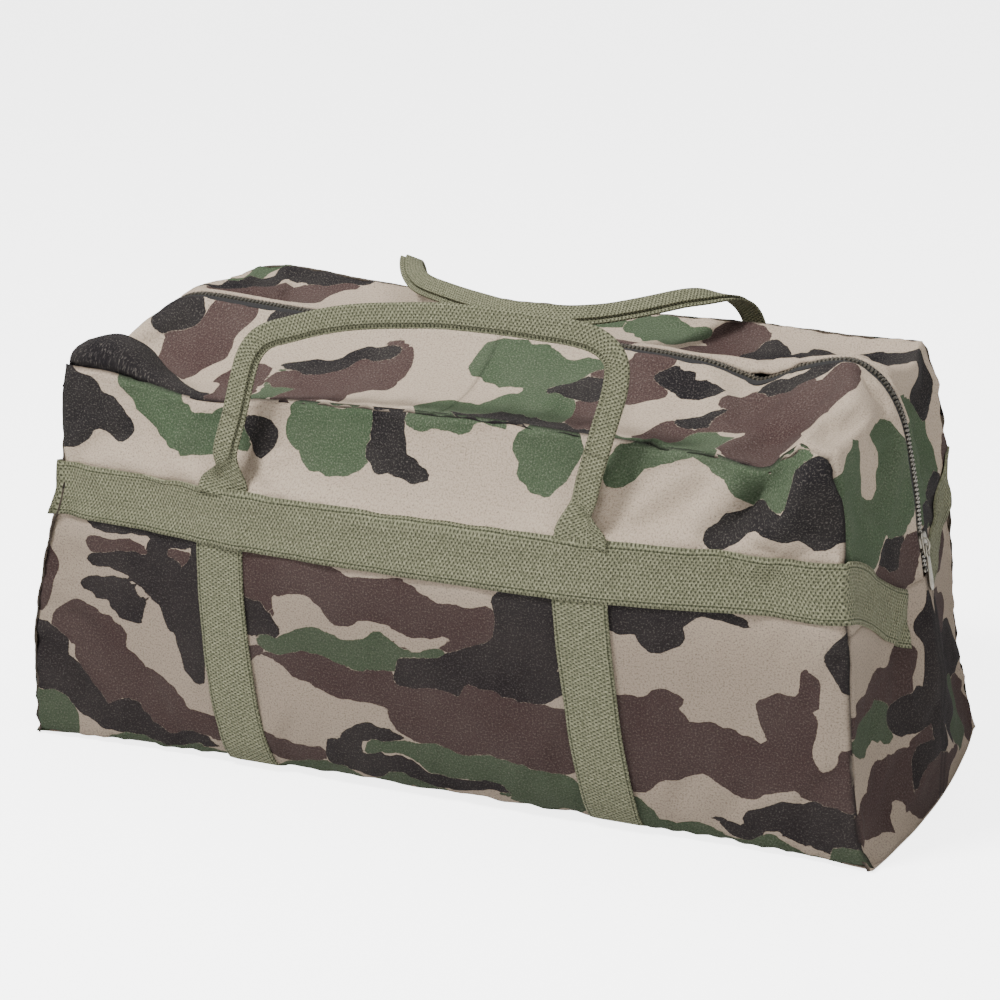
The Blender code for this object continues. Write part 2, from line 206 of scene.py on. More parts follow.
def face_form(side, u, v, belly):
    """A face between its four edges, pushed outwards by the belly."""
    p = coons(low_edge(side), high_edge(side), side_edge(side, -1), side_edge(side, 1), u, v)
    p[..., 1] += side * belly * (1 - np.abs(u) ** 2.6) * np.sin(math.pi * np.clip(v, 0, 1)) ** 0.62
    return p


# Slack hollows in the front, beside the band and near the corners: x, half width, z, half height, depth.
HOLLOWS = [(-0.300, 0.030, 0.300, 0.028, 0.006), (0.325, 0.022, 0.120, 0.07, 0.005),
           (0.348, 0.014, 0.16, 0.09, -0.005), (-0.345, 0.016, 0.17, 0.09, 0.006)]


def front_form(u, v):
    p = face_form(-1, u, v, 0.039)
    p[..., 1] -= 0.004 * np.sin(2.6 * u + 0.6) * np.sin(math.pi * v)
    x, y, z = p[..., 0], p[..., 1], p[..., 2]
    # crease and standing facet at the right top corner
    away = (x - 0.262) * 0.834 - (z - 0.272) * 0.552
    along = (x - 0.262) * 0.552 + (z - 0.272) * 0.834
    y += 0.019 * bump(away, -0.001, 0.010) * ease(along, -0.03, 0.03) * ease(v, 1.0, 0.9)
    y -= 0.020 * bump(away, 0.028, 0.018) * ease(along, -0.03, 0.03) * ease(v, 1.0, 0.92)
    # the handles pull the cloth into upright creases, and the band cinches the belly
    for foot_x, side in ((-0.155, 1), (0.172, -1)):
        line = foot_x - 0.10 * (z - 0.26) * side
        y += 0.0042 * bump(x, line, 0.0075) * ease(z, 0.25, 0.275) * ease(-z, -0.345, -0.31)
        beside = bump(x, line + 0.018 * side, 0.014)
        y -= 0.0030 * beside * ease(z, 0.25, 0.28) * ease(-z, -0.34, -0.31)
    y += 0.0035 * bump(z, CINCH_Z, 0.022) * (1 - np.abs(u) ** 8)
    y += face_creases(x, z, v)
    for cx, wide, cz, high, depth in HOLLOWS:
        y += depth * bump(x, cx, wide) * bump(z, cz, high)
    return p


def back_form(u, v):
    p = face_form(1, u, v, 0.036)
    x, y, z = p[..., 0], p[..., 1], p[..., 2]
    y += 0.004 * np.sin(2.1 * u - 0.4) * np.sin(math.pi * v)
    y -= face_creases(0.02 - x, z, v)
    y -= 0.0035 * bump(z, CINCH_Z, 0.022) * (1 - np.abs(u) ** 8)
    return p


# Folds in the top (x, y, ...) and in the ends (y, z, ...), with the same columns as CREASES.


TOP_FOLDS = [(0.205, -0.085, 62, 0.060, 0.012, 0.0060), (0.150, -0.110, 74, 0.045, 0.011, 0.0036),
             (0.060, -0.100, -70, 0.040, 0.012, 0.0030), (-0.060, -0.110, 66, 0.044, 0.012, 0.0034),
             (-0.165, -0.095, 58, 0.050, 0.012, 0.0040), (-0.235, -0.100, 40, 0.050, 0.012, 0.0050),
             (-0.285, -0.055, 24, 0.040, 0.012, 0.0046), (0.285, -0.090, 30, 0.040, 0.011, 0.0046),
             (0.120, 0.095, 60, 0.045, 0.013, 0.0040), (-0.020, 0.105, -64, 0.045, 0.013, 0.0036),
             (-0.170, 0.090, 66, 0.045, 0.013, 0.0040), (0.235, 0.090, -38, 0.050, 0.012, 0.0046),
             (-0.270, 0.085, 40, 0.045, 0.012, 0.0046)]
END_FOLDS = [(-0.060, 0.150, 68, 0.050, 0.009, 0.0050), (-0.105, 0.120, 52, 0.040, 0.008, 0.0040),
             (-0.030, 0.110, 98, 0.050, 0.009, 0.0046), (0.050, 0.140, 112, 0.050, 0.009, 0.0048),
             (0.105, 0.110, 128, 0.045, 0.009, 0.0040), (-0.090, 0.055, 30, 0.045, 0.010, 0.0036),
             (0.030, 0.055, 150, 0.045, 0.010, 0.0036), (-0.085, 0.290, 118, 0.045, 0.010, 0.0044),
             (0.080, 0.285, 62, 0.045, 0.010, 0.0044)]


def gusset_edge(side, p):
    """The long edge of the end-top-end strip at path share p."""
    out = np.zeros(np.shape(p) + (3,))
    right = p <= 0.25
    top = (p > 0.25) & (p < 0.75)
    left = p >= 0.75
    out[right] = side_edge(side, 1)(p[right] / 0.25)
    out[top] = high_edge(side)(1 - (p[top] - 0.25) * 4)
    out[left] = side_edge(side, -1)((1 - p[left]) / 0.25)
    return out


def gusset_form(p, t):
    """p runs up the right end, over the top and down the left end. t is -1 at the front to 1."""
    front = gusset_edge(-1, p)
    rear = gusset_edge(1, p)
    m = curve(MID, p)
    mid = xyz(m[..., 0], 0 * p, m[..., 1])
    on_top = ease(p, 0.24, 0.30) * ease(-p, -0.76, -0.70)
    power = 2.0 + 0.6 * on_top * (t > 0)
    share = (1 - np.abs(t) ** power)[..., None]
    base = front + (rear - front) * ((t + 1) / 2)[..., None]
    out = base + (mid - (front + rear) / 2) * share
    x, y, z = out[..., 0], out[..., 1], out[..., 2]
    # the top sags in a valley that slants from the zip to the right front corner
    valley = bump(x, 0.232 - 0.33 * y, 0.026) * ease(-y, -0.02, 0.03) * ease(-y, 0.158, 0.12)
    z -= 0.010 * valley * on_top
    inner = 1 - np.abs(t) ** 12
    z -= folds(TOP_FOLDS, x, y, 5.0, 0.6) * on_top * inner * ease(np.abs(t), 0.03, 0.14)
    end_side = np.where(x > 0, 1, -1) * (1 - on_top)
    x -= folds(END_FOLDS, y, z, 6.0, 0.6) * end_side * inner * ease(z, 0.0, 0.02)
    # rear half stands a little fuller
    z += 0.006 * on_top * np.sin(math.pi * np.clip(t, 0, 1)) ** 1.2
    # the top cloth rolls over the front at the left corner
    roll = bump(x, -0.305, 0.055) * ease(-x, 0.205, 0.240) * ease(-p, -0.790, -0.755)
    off_seam = roll * (t > -0.999)
    z += 0.026 * off_seam * bump(t, -0.885, 0.085)
    y -= 0.021 * off_seam * bump(t, -0.945, 0.05)
    z -= 0.008 * roll * bump(t, -0.60, 0.13)
    return out


def bottom_form(u, w):
    """w is -1 at the front to 1 at the back. The base lies flat."""
    s = ((w + 1) / 2)[..., None]
    p = low_edge(-1)(u) * (1 - s) + low_edge(1)(u) * s
    ends = np.where((u > 0)[..., None], gusset_form(0 * u, w), gusset_form(0 * u + 1, w))
    p[..., 0] = p[..., 0] + (ends[..., 0] - p[..., 0]) * np.abs(u) ** 12
    p[..., 2] = p[..., 2] * np.abs(w) ** 6 + BASE_Z
    p[..., 2] = np.where(np.abs(u) > 0.9999, ends[..., 2], p[..., 2])
    p[..., 2] = np.where(np.abs(w) > 0.9999, low_edge(1)(u)[..., 2], p[..., 2])
    return p


def grid(a, b):
    return np.meshgrid(np.asarray(a, float), np.asarray(b, float), indexing="ij")


U = np.linspace(-1, 1, NU + 1)
V = np.linspace(0, 1, NV + 1)
T = np.linspace(-1, 1, ND + 1)
P = np.concatenate([V * 0.25, 0.25 + (1 + U[1:]) * 0.25, 0.75 + V[1:] * 0.25])
patch = {
    "front": front_form(*grid(U, V)),
    "back": back_form(*grid(U, V)),
    "gusset": gusset_form(*grid(P, T)),
    "bottom": bottom_form(*grid(U, T)),
}

# ------------------------------------------------------------------ slack and wrinkles
# One closed skin is relaxed as cloth cut a little too large, held softly to the filled form.


WELD_PER_METRE = 4000


def new_object(name, data):
    obj = bpy.data.objects.new(name, data)
    bpy.context.scene.collection.objects.link(obj)
    return obj


def mesh_object(name, points, faces):
    mesh = bpy.data.meshes.new(name)
    mesh.from_pydata(points, [], faces)
    mesh.update()
    return new_object(name, mesh)


def weld(patches):
    """Joins the four patches into one closed skin: points, faces and each patch's own point numbers.
    Edge points are shared when they fall in the same quarter of a millimetre."""
    points, faces, refs = [], [], {}
    seen = {}
    for name, arr in patches.items():
        n, m = arr.shape[:2]
        ids = np.zeros((n, m), int)
        for i in range(n):
            for j in range(m):
                on_edge = i in (0, n - 1) or j in (0, m - 1)
                key = tuple(np.round(arr[i, j] * WELD_PER_METRE).astype(int)) if on_edge else None
                if on_edge and key in seen:
                    ids[i, j] = seen[key]
                    continue
                ids[i, j] = len(points)
                points.append(arr[i, j])
                if on_edge:
                    seen[key] = ids[i, j]
        refs[name] = ids
        for i in range(n - 1):
            for j in range(m - 1):
                f = [ids[i, j], ids[i + 1, j], ids[i + 1, j + 1], ids[i, j + 1]]
                faces.append(f if name == "front" else f[::-1])
    return np.array(points), faces, refs


CLOTH_SETTINGS = {
    "quality": 6, "mass": 0.35, "tension_stiffness": 30, "compression_stiffness": 30, "shear_stiffness": 12,
    "bending_stiffness": 1.0, "tension_damping": 12, "compression_damping": 12, "shear_damping": 10,
    "bending_damping": 2, "air_damping": 3, "vertex_group_mass": "hold", "pin_stiffness": 0.9,
    "vertex_group_shrink": "loose", "shrink_min": 0.0, "shrink_max": -0.07, "use_pressure": True,
    "uniform_pressure_force": 0.25}
FRAMES = 34


def relax(patches):
    """Lets the skin settle under gravity and a slight pressure, and gives back the four patches."""
    points, faces, refs = weld(patches)
    skin = mesh_object("skin", points.tolist(), faces)
    mesh = skin.data
    x, y, z = points.T
    hold = np.full(len(points), 0.07)
    for name, ids in refs.items():
        if name != "bottom":
            rim = np.concatenate([ids[0], ids[-1], ids[:, 0], ids[:, -1]])
            hold[rim] = 0.55
    hold[refs["bottom"].ravel()] = 1.0
    hold[refs["gusset"][:, ND // 2 - 1: ND // 2 + 2].ravel()] = 0.8
    hold = np.maximum(hold, 0.6 * ((np.abs(z - CINCH_Z) < 0.028) & (np.abs(y) > 0.15)))
    slack = 0.35 + 0.65 * np.maximum(bump(np.abs(x), 0.34, 0.07), bump(z, 0.31, 0.05))
    slack = np.where(z < 0.01, 0.0, slack)
    for key, weights in (("hold", hold), ("loose", slack)):
        group = skin.vertex_groups.new(name=key)
        for i, weight in enumerate(weights):
            group.add([i], float(weight), "REPLACE")
    cloth = skin.modifiers.new("cloth", "CLOTH")
    for key, value in CLOTH_SETTINGS.items():
        setattr(cloth.settings, key, value)
    cloth.collision_settings.use_collision = False
    cloth.collision_settings.use_self_collision = False
    cloth.point_cache.frame_start = 1
    cloth.point_cache.frame_end = FRAMES
    scene = bpy.context.scene
    for f in range(1, FRAMES + 1):
        scene.frame_set(f)
    done = skin.evaluated_get(bpy.context.evaluated_depsgraph_get()).to_mesh()
    out = np.zeros(len(points) * 3, np.float32)
    done.vertices.foreach_get("co", out)
    out = out.reshape(-1, 3).astype(float)
    scene.frame_set(1)
    bpy.data.objects.remove(skin)
    bpy.data.meshes.remove(mesh)
    return {name: out[ids] for name, ids in refs.items()}


patch = relax(patch)

for arr in patch.values():
    arr[..., 2] = np.maximum(arr[..., 2], BASE_Z)


# ------------------------------------------------------------------ sampling the relaxed skin


def spline_index(x, n):
    x = np.clip(x, 0, n - 1 - 1e-9)
    i = np.floor(x).astype(int)
    f = x - i
    w = np.stack([-0.5 * f + f ** 2 - 0.5 * f ** 3, 1 - 2.5 * f ** 2 + 1.5 * f ** 3,
                  0.5 * f + 2 * f ** 2 - 1.5 * f ** 3, -0.5 * f ** 2 + 0.5 * f ** 3], 0)
    return i, w


def sample(arr, a, b):
    """Smooth surface point at fractional grid places a, b (arrays of the same shape)."""
    padded = np.pad(arr, ((1, 2), (1, 2), (0, 0)), mode="edge")
    padded[0] = 2 * padded[1] - padded[2]
    padded[-2] = 2 * padded[-3] - padded[-4]
    padded[:, 0] = 2 * padded[:, 1] - padded[:, 2]
    padded[:, -2] = 2 * padded[:, -3] - padded[:, -4]
    i, wi = spline_index(a, arr.shape[0])
    j, wj = spline_index(b, arr.shape[1])
    out = np.zeros(np.shape(a) + (3,))
    for k in range(4):
        for m in range(4):
            out += (wi[k] * wj[m])[..., None] * padded[i + k, j + m]
    return out


class Skin:
    """A panel of the relaxed skin: place(a, b) by parameters, with its outward normal."""

    def __init__(self, name, sign):
        self.arr = patch[name]
        self.name = name
        self.sign = sign

    def index(self, a, b):
        if self.name in ("front", "back"):
            return (a + 1) / 2 * NU, b * NV
        if self.name == "bottom":
            return (a + 1) / 2 * NU, (b + 1) / 2 * ND
        return np.interp(a, P, np.arange(len(P))), (b + 1) / 2 * ND

    def place(self, a, b):
        return sample(self.arr, *self.index(a, b))

    def normal(self, a, b, h=0.004):
        pa = self.place(a + h, b) - self.place(a - h, b)
        pb = self.place(a, b + h) - self.place(a, b - h)
        n = np.cross(pa, pb) * self.sign
        return n / np.maximum(np.linalg.norm(n, axis=-1, keepdims=True), 1e-12)


FRONT = Skin("front", 1)
BACK = Skin("back", -1)
GUSSET = Skin("gusset", -1)
BOTTOM = Skin("bottom", -1)


def build(name, pos, thick, flip):
    """A grid of points as a thin closed solid, thickened away from its outer face."""
    n, m = pos.shape[:2]
    ids = np.arange(n * m).reshape(n, m)
    quads = np.stack([ids[:-1, :-1], ids[1:, :-1], ids[1:, 1:], ids[:-1, 1:]], -1).reshape(-1, 4)
    if flip:
        quads = quads[:, ::-1]
    obj = mesh_object(name, pos.reshape(-1, 3).tolist(), quads.tolist())
    mesh = obj.data
    for poly in mesh.polygons:
        poly.use_smooth = True
    solid = obj.modifiers.new("thickness", "SOLIDIFY")
    solid.thickness = thick
    solid.offset = -1.0
    dg = bpy.context.evaluated_depsgraph_get()
    made = bpy.data.meshes.new_from_object(obj.evaluated_get(dg), depsgraph=dg,
                                           preserve_all_data_layers=True)
    obj.modifiers.clear()
    obj.data = made
    made.name = name
    bpy.data.meshes.remove(mesh)
    for poly in made.polygons[2 * len(quads):]:
        poly.use_smooth = False
    return obj


def put(obj, key, values):
    """A number per grid point, for the shaders, on both faces of the solid."""
    count = len(obj.data.vertices)
    values = np.tile(np.asarray(values, np.float32).ravel(), 2)[:count]
    obj.data.attributes.new(key, "FLOAT", "POINT").data.foreach_set("value", values)


# ------------------------------------------------------------------ camouflage print
# Shapes are painted in order: (colour, across, up, half width, half height, turn), in centimetres
# on each panel. Colours: 0 tan, 1 green, 2 brown, 3 black.

PRINT_FRONT = [
    (3, -34.4, 31, 3.6, 4.0, 0), (3, -31.2, 30.2, 2.6, 1.8, -30), (3, -29.3, 29.2, 1.7, 1.7, 0),
    (1, -26, 32, 3.8, 1.7, -38), (1, -22.5, 30, 4.2, 1.9, -12), (1, -18.8, 29.9, 2.6, 1.8, 0),
    (3, -15.4, 30, 1.3, 1.6, 0),
    (1, -9, 31.8, 3.7, 2.7, 0), (1, -8.2, 29.4, 3.8, 1.8, 0), (1, -11.6, 30.1, 1.8, 1.3, 0),
    (3, -4.3, 32.4, 1.7, 2.2, 0), (3, -3.7, 30, 1.6, 2.3, 0), (3, -2, 28.9, 1.7, 0.9, 0),
    (1, 0.4, 32.9, 3.2, 1.4, 5), (1, 3.9, 33.6, 2.8, 0.8, 0),
    (1, 10.2, 31.4, 2.9, 3.0, 0), (1, 9.6, 29.2, 2.1, 1.3, 0),
    (1, 17.4, 31.7, 2.8, 1.4, 28), (1, 21, 32.7, 3.6, 1.2, 5), (1, 24.3, 32, 2.2, 0.9, -12),
    (1, 27.2, 31, 1.5, 2.6, 15), (1, 30.4, 32, 3.6, 1.7, 48),
    (3, 34.0, 30.4, 3.0, 4.2, -8), (3, 30.6, 28.4, 3.4, 1.2, 8), (3, 26.3, 27.3, 2.2, 1.2, 0),
    (3, 28.6, 27.9, 2.4, 0.9, 10),
    # below the band, left
    (2, -38.2, 15.5, 2.4, 3.9, 0), (2, -28.6, 18.4, 3.8, 1.1, -10), (2, -23, 18.7, 2.4, 1.1, 0),
    (3, -27, 21.2, 6.4, 1.3, -3), (3, -26, 16.7, 5.2, 1.4, -6), (3, -31, 17.3, 2.1, 0.9, 0),
    (3, -31, 14.7, 2.7, 0.9, 0), (3, -28, 13.7, 2.7, 1.5, -20), (3, -23.6, 15.4, 2.7, 3.4, 0),
    (3, -21.6, 12.4, 2.2, 4.6, 0), (3, -24.9, 19.6, 1.0, 3, 0), (3, -21.0, 19, 0.9, 3.4, 0),
    (0, -25.6, 12.0, 1.0, 3.0, 5),
    (2, -32.4, 10.6, 4.0, 2.3, 0), (2, -30.6, 7.6, 4.2, 3.2, -38), (2, -26, 4.7, 5.0, 2.3, -24),
    (2, -20.6, 3.6, 3.4, 1.5, 0),
    (3, -38, 8, 3.0, 3.0, 0), (3, -34.2, 4.9, 3.5, 2.2, -38), (3, -29, 2.6, 4.9, 1.5, -10),
    (3, -24, 1.5, 3.9, 1, 0), (1, -37.6, 2.2, 3.4, 2.9, -25), (1, -27, 0.5, 4.4, 0.9, 0),
    (1, -21.6, 0.3, 3.2, 0.6, 0),
    # middle
    (2, -10, 18.4, 7.0, 3.0, -3), (2, -2, 16.6, 6.4, 3.6, 0), (2, 5, 16.5, 3.6, 3.4, 0),
    (2, -16, 18, 2.4, 4.4, 0), (2, 2, 12, 7, 3.4, 0), (2, -6, 10.5, 8, 1.7, 0),
    (2, -13, 11.4, 3.6, 1.8, 0),
    (0, -3.4, 20.9, 4.2, 0.8, -7), (0, 3.2, 19.9, 3.6, 0.9, -8),
    (3, -15.2, 14.6, 2.2, 1.3, -42),
    (0, -10.7, 16, 3.2, 1.4, -6), (0, -5.6, 14.9, 3.6, 0.9, -3), (0, 0.2, 15.3, 2.8, 0.7, 4),
    (1, -9.8, 13.3, 5.4, 1.4, 0), (1, -3.2, 13.2, 4.6, 1.1, 4), (1, 1.2, 14.2, 1.9, 0.7, 4),
    (3, 10.2, 17.6, 3.2, 4.0, 0), (3, 8.2, 13.6, 5.6, 2.2, 0), (3, 1.6, 12.2, 3.3, 2.0, 0),
    (0, -14.2, 8.4, 2.4, 3.4, 12), (0, -9.2, 7.2, 6.6, 2.0, -6), (0, -3, 7.2, 3, 0.8, -16),
    (0, -8.4, 5.0, 3.6, 1.4, 0),
    (2, 3.4, 8, 6.6, 2.6, 0), (2, 10, 7.8, 5.6, 3.8, 0), (2, -11, 2.6, 5.4, 1.2, -8),
    (1, 2.4, 4.4, 5.6, 1.4, -3), (1, 9.4, 3.0, 5.6, 2.2, 0), (1, -10, 0.9, 4, 1.1, 0),
    (3, -5, 5.5, 3.5, 0.9, 5), (3, -7.6, 3.5, 1.8, 1.9, 0), (3, -3.4, 2.4, 3.8, 1.1, 0),
    (3, 2.2, 2.2, 5.4, 0.8, -5), (1, -3.4, 4.2, 2.2, 0.7, 14), (1, -1.8, 1.2, 3.4, 0.6, 0),
    # right
    (3, 20, 20.3, 4.9, 1.5, -3), (3, 21.1, 18.3, 1.7, 1.9, 0), (3, 26, 20.3, 2.8, 0.6, -4),
    (2, 20, 11.2, 3.9, 1.9, 0), (2, 22.2, 13, 1.7, 1.0, 0), (2, 18.6, 7.6, 3.4, 3.8, 0),
    (2, 25, 9.4, 5.2, 1.6, -10), (2, 32, 11.4, 2.8, 2.6, 38), (2, 30.4, 8, 6, 2.1, 0),
    (2, 36.4, 7.4, 4.4, 3.2, 0), (2, 24, 6.6, 5.4, 1.9, 0), (2, 33.4, 15, 1.0, 1.3, 0),
    (0, 35.0, 11.8, 1.2, 3.2, -8),
    (0, 24.6, 4.3, 3.8, 1.7, 0), (0, 22.2, 3.0, 2.0, 1.3, 0), (0, 30.2, 4.9, 2.5, 0.6, 10),
    (0, 27, 2.5, 2, 0.8, 0),
    (3, 31, 3.3, 3.2, 1.5, 0), (3, 27.6, 2, 3, 0.7, -15), (3, 36.6, 3.1, 4.2, 1.9, 0),
    (1, 22, 0.9, 4.4, 1.0, -5), (1, 30, 0.4, 6.4, 0.9, 0), (1, 36.8, 0.8, 2.2, 1.3, 0),
    (1, 18.6, 1.6, 1.7, 1.8, 0), (3, 36.6, 17.8, 1.5, 2.9, 0),
]
PRINT_TOP = [
    (3, -31, -3, 3.2, 2.4, 0), (1, -33.6, -9, 1.6, 3.4, 0), (2, -28.8, -8.6, 3.6, 5.0, -16),
    (2, -26.2, -3.8, 2.8, 4.4, -20), (3, -31, -13.6, 6.4, 3.0, 0), (3, -25, -14.9, 4.2, 1.8, 4),
    (3, -19, -1.4, 3.0, 1.3, 0), (1, -16.6, -11.6, 1.7, 4.4, 8), (2, -20, -13, 1.6, 3.8, 10),
    (2, -20.6, -8.6, 2.2, 2.6, 20),
    (2, -12.4, -11.6, 2.8, 3.4, -10), (2, -11, -7.8, 3.4, 3.0, -20), (2, -9.2, -5.0, 2.8, 2.4, 20),
    (2, -16.2, -16.2, 2.4, 1.4, 0), (2, -15.0, -8.4, 3.2, 1.7, 15), (3, -14.4, -6.0, 4.0, 1.2, 16),
    (3, -10.4, -4.2, 2.4, 0.9, 16),
    (1, 1.4, -12.8, 4.6, 3.4, 0), (1, 6.2, -10, 5.0, 3.8, 0), (1, 2.8, -4.0, 4.6, 2.6, 0),
    (1, 8.4, -5.4, 3.8, 3.4, 0), (1, 10.6, -9, 2.6, 2.8, 0), (0, 0.6, -8.4, 2.6, 0.7, 14),
    (0, 3.4, -7.0, 1.6, 0.6, 28),
    (3, 5.6, -13.6, 4.6, 1.6, 5), (3, 11.0, -14.2, 3.8, 2.2, -4), (2, 11.6, -8.6, 2.2, 5.6, 18),
    (2, 13.6, -4.0, 1.9, 2.6, 24), (3, 10.2, -5.6, 3.1, 1.3, 16), (2, 14.6, -1.4, 2.4, 1.4, 0),
    (2, 18.6, -12.6, 2.2, 4.4, 10), (2, 20.4, -8.0, 3.8, 1.8, 24), (1, 21.8, -12.6, 2.4, 4.4, 8),
    (1, 18.0, -15.2, 3.0, 1.0, 0), (3, 22.6, -6.4, 4.6, 1.2, 16), (3, 17.6, -3.0, 3.2, 1.0, 0),
    (2, 24.6, -3.6, 4.0, 1.6, 16),
    (2, 27.6, -11.4, 3.5, 5.6, 12), (2, 26.8, -6.0, 5.2, 2.6, 14), (2, 31.4, -4, 2.8, 2.6, 0),
    (2, 28.4, -7.6, 3.6, 2.6, 0),
    (3, 27.0, -2.0, 3.4, 0.8, 14),
    (1, -33.4, 12.6, 3.4, 3.6, 0), (2, -28.6, 6.4, 3.6, 3.0, 50), (2, -25.6, 11.2, 4.6, 1.6, 30),
    (3, -30.6, 9.4, 6.0, 1.5, 62), (3, -24.6, 14.6, 5.0, 1.3, 4), (1, -29.4, 15.2, 2.4, 0.9, 0),
    (3, -17.6, 7.2, 3.4, 2.4, 10), (3, -13.8, 8.2, 2.2, 1.8, 10), (0, -16, 9.2, 1.2, 1.0, 0),
    (2, -6, 11.4, 5, 2.4, 0), (1, 1, 13.6, 5, 2.0, 0), (2, 9.6, 3.0, 3.2, 2.6, 30),
    (2, 14.6, 7.6, 5.8, 2.6, 40), (2, 16.4, 12.6, 3.2, 1.6, 16), (1, 10, 12.8, 4, 2.0, 0),
    (3, 20.4, 9.8, 2.0, 3.2, 10), (3, 23.2, 8.4, 2.2, 2.4, 0),
    (3, 25.4, 9.6, 1.6, 2.8, 10), (3, 29.8, 10.6, 2.4, 2.4, 0),
]
PRINT_END = [
    (1, -12, 28, 5.4, 5.6, 0), (1, -4.6, 28.4, 4.2, 5.4, 0), (1, 6.0, 27.4, 6.6, 5.8, 0),
    (0, -8.0, 32.6, 1.5, 2.0, 0), (0, -7.2, 29.8, 2.2, 1.8, 0), (0, -15, 34.2, 3.0, 2.0, 0),
    (3, -5.6, 23, 3.1, 1.5, 0), (2, -6.6, 20.6, 5.6, 1.7, 0), (2, -2.4, 22, 2.0, 1.6, 0),
    (3, 3.6, 21.8, 3.0, 2.6, 0), (3, 11.6, 33, 2.4, 3.6, 0), (2, 15.2, 23, 1.8, 4.0, 0),
    (3, 9.4, 23.4, 3.0, 2.0, 0), (2, 9, 18.6, 4.2, 2.4, 0), (1, 8.6, 29, 2.0, 3.2, 0),
    (2, -10.4, 12.6, 5.4, 2.0, -6), (2, -14.6, 12.2, 2.6, 1.2, -8), (2, -5.6, 14.2, 2.0, 2.0, -20),
    (1, -11.8, 10.0, 5.4, 1.9, -8), (0, -12.4, 6.8, 4.8, 1.8, -6),
    (3, -0.8, 13.6, 1.5, 5.4, 0), (3, 1.6, 12.4, 1.6, 6.6, 0), (3, -4.4, 9.6, 3.6, 2.2, 0),
    (3, 4.4, 9.2, 3.2, 5.4, 0), (2, -8.4, 4.4, 5.6, 2.6, -6), (2, -13, 3.4, 4.4, 2.4, 0),
    (2, -2.0, 6.6, 3.4, 1.4, 10), (3, -3.0, 4.6, 4.2, 1.6, 12), (2, -1, 2.2, 6.6, 2.0, 0),
    (3, -0.4, 7.6, 2.6, 1.6, 20), (0, -13.6, 0.9, 2.6, 1.5, 0), (0, -9.6, 1.6, 1.5, 2.0, 0),
    (2, 10, 12.4, 3.4, 2.6, 0), (3, 13, 8, 3.2, 2.8, 0), (1, 9, 4, 4.6, 3.0, 0),
    (0, 7.4, 15.4, 1.5, 2.8, 0), (2, 14, 2.6, 2.4, 3.0, 0),
]


def shifted(shapes, flip=1, dx=0.0, dy=0.0, lift=1.0):
    """The same print on another panel, for the faces that the view does not reach."""
    return [(c, flip * x + dx, y * lift + dy, rx, ry, flip * turn) for c, x, y, rx, ry, turn in shapes]


PRINT_BACK = ([(1, -30, 23, 5, 3, 0), (2, -12, 24, 6, 2.6, 0), (3, 6, 24, 5, 2.4, 0), (2, 24, 23, 6, 2.6, 0)]
              + shifted(PRINT_FRONT, -1, 1.6, 0.6))
PRINT_BOTTOM = shifted(PRINT_FRONT, 1, -3.0, -17.5)
PRINT_LEFT = shifted(PRINT_END, -1, 0.8, 0.4) + [(3, -14.2, 34.6, 4.2, 3.6, 0)]

WARP = [Ripple(3, 0.050), Ripple(4, 0.050), Ripple(5, 0.020), Ripple(6, 0.020)]


def paint(shapes, x, y):
    """How far each point lies inside each of the four colours, in centimetres."""
    dx = 0.34 * WARP[0](x, y) + 0.11 * WARP[2](x, y)
    dy = 0.30 * WARP[1](x, y) + 0.10 * WARP[3](x, y)
    px, py = x * 100 + dx, y * 100 + dy
    field = np.full((4,) + np.shape(x), -9.0)
    field[0] = 9.0
    for colour, cx, cy, rx, ry, turn in shapes:
        a = math.radians(turn)
        ux = (px - cx) * math.cos(a) + (py - cy) * math.sin(a)
        uy = -(px - cx) * math.sin(a) + (py - cy) * math.cos(a)
        inside = (1 - np.sqrt((ux / rx) ** 2 + (uy / ry) ** 2)) * min(rx, ry)
        for k in range(4):
            field[k] = np.maximum(field[k], inside) if k == colour else np.minimum(field[k], -inside)
    return field


def dye(obj, field, x, y):
    """Stores the print on a piece: how far inside green, brown and black, and where on the cloth."""
    for k, key in ((1, "ink_green"), (2, "ink_brown"), (3, "ink_black")):
        put(obj, key, np.clip(field[k] - np.max(np.delete(field, k, 0), 0), -2, 2))
    put(obj, "cloth_x", x)
    put(obj, "cloth_y", y)


# ------------------------------------------------------------------ materials


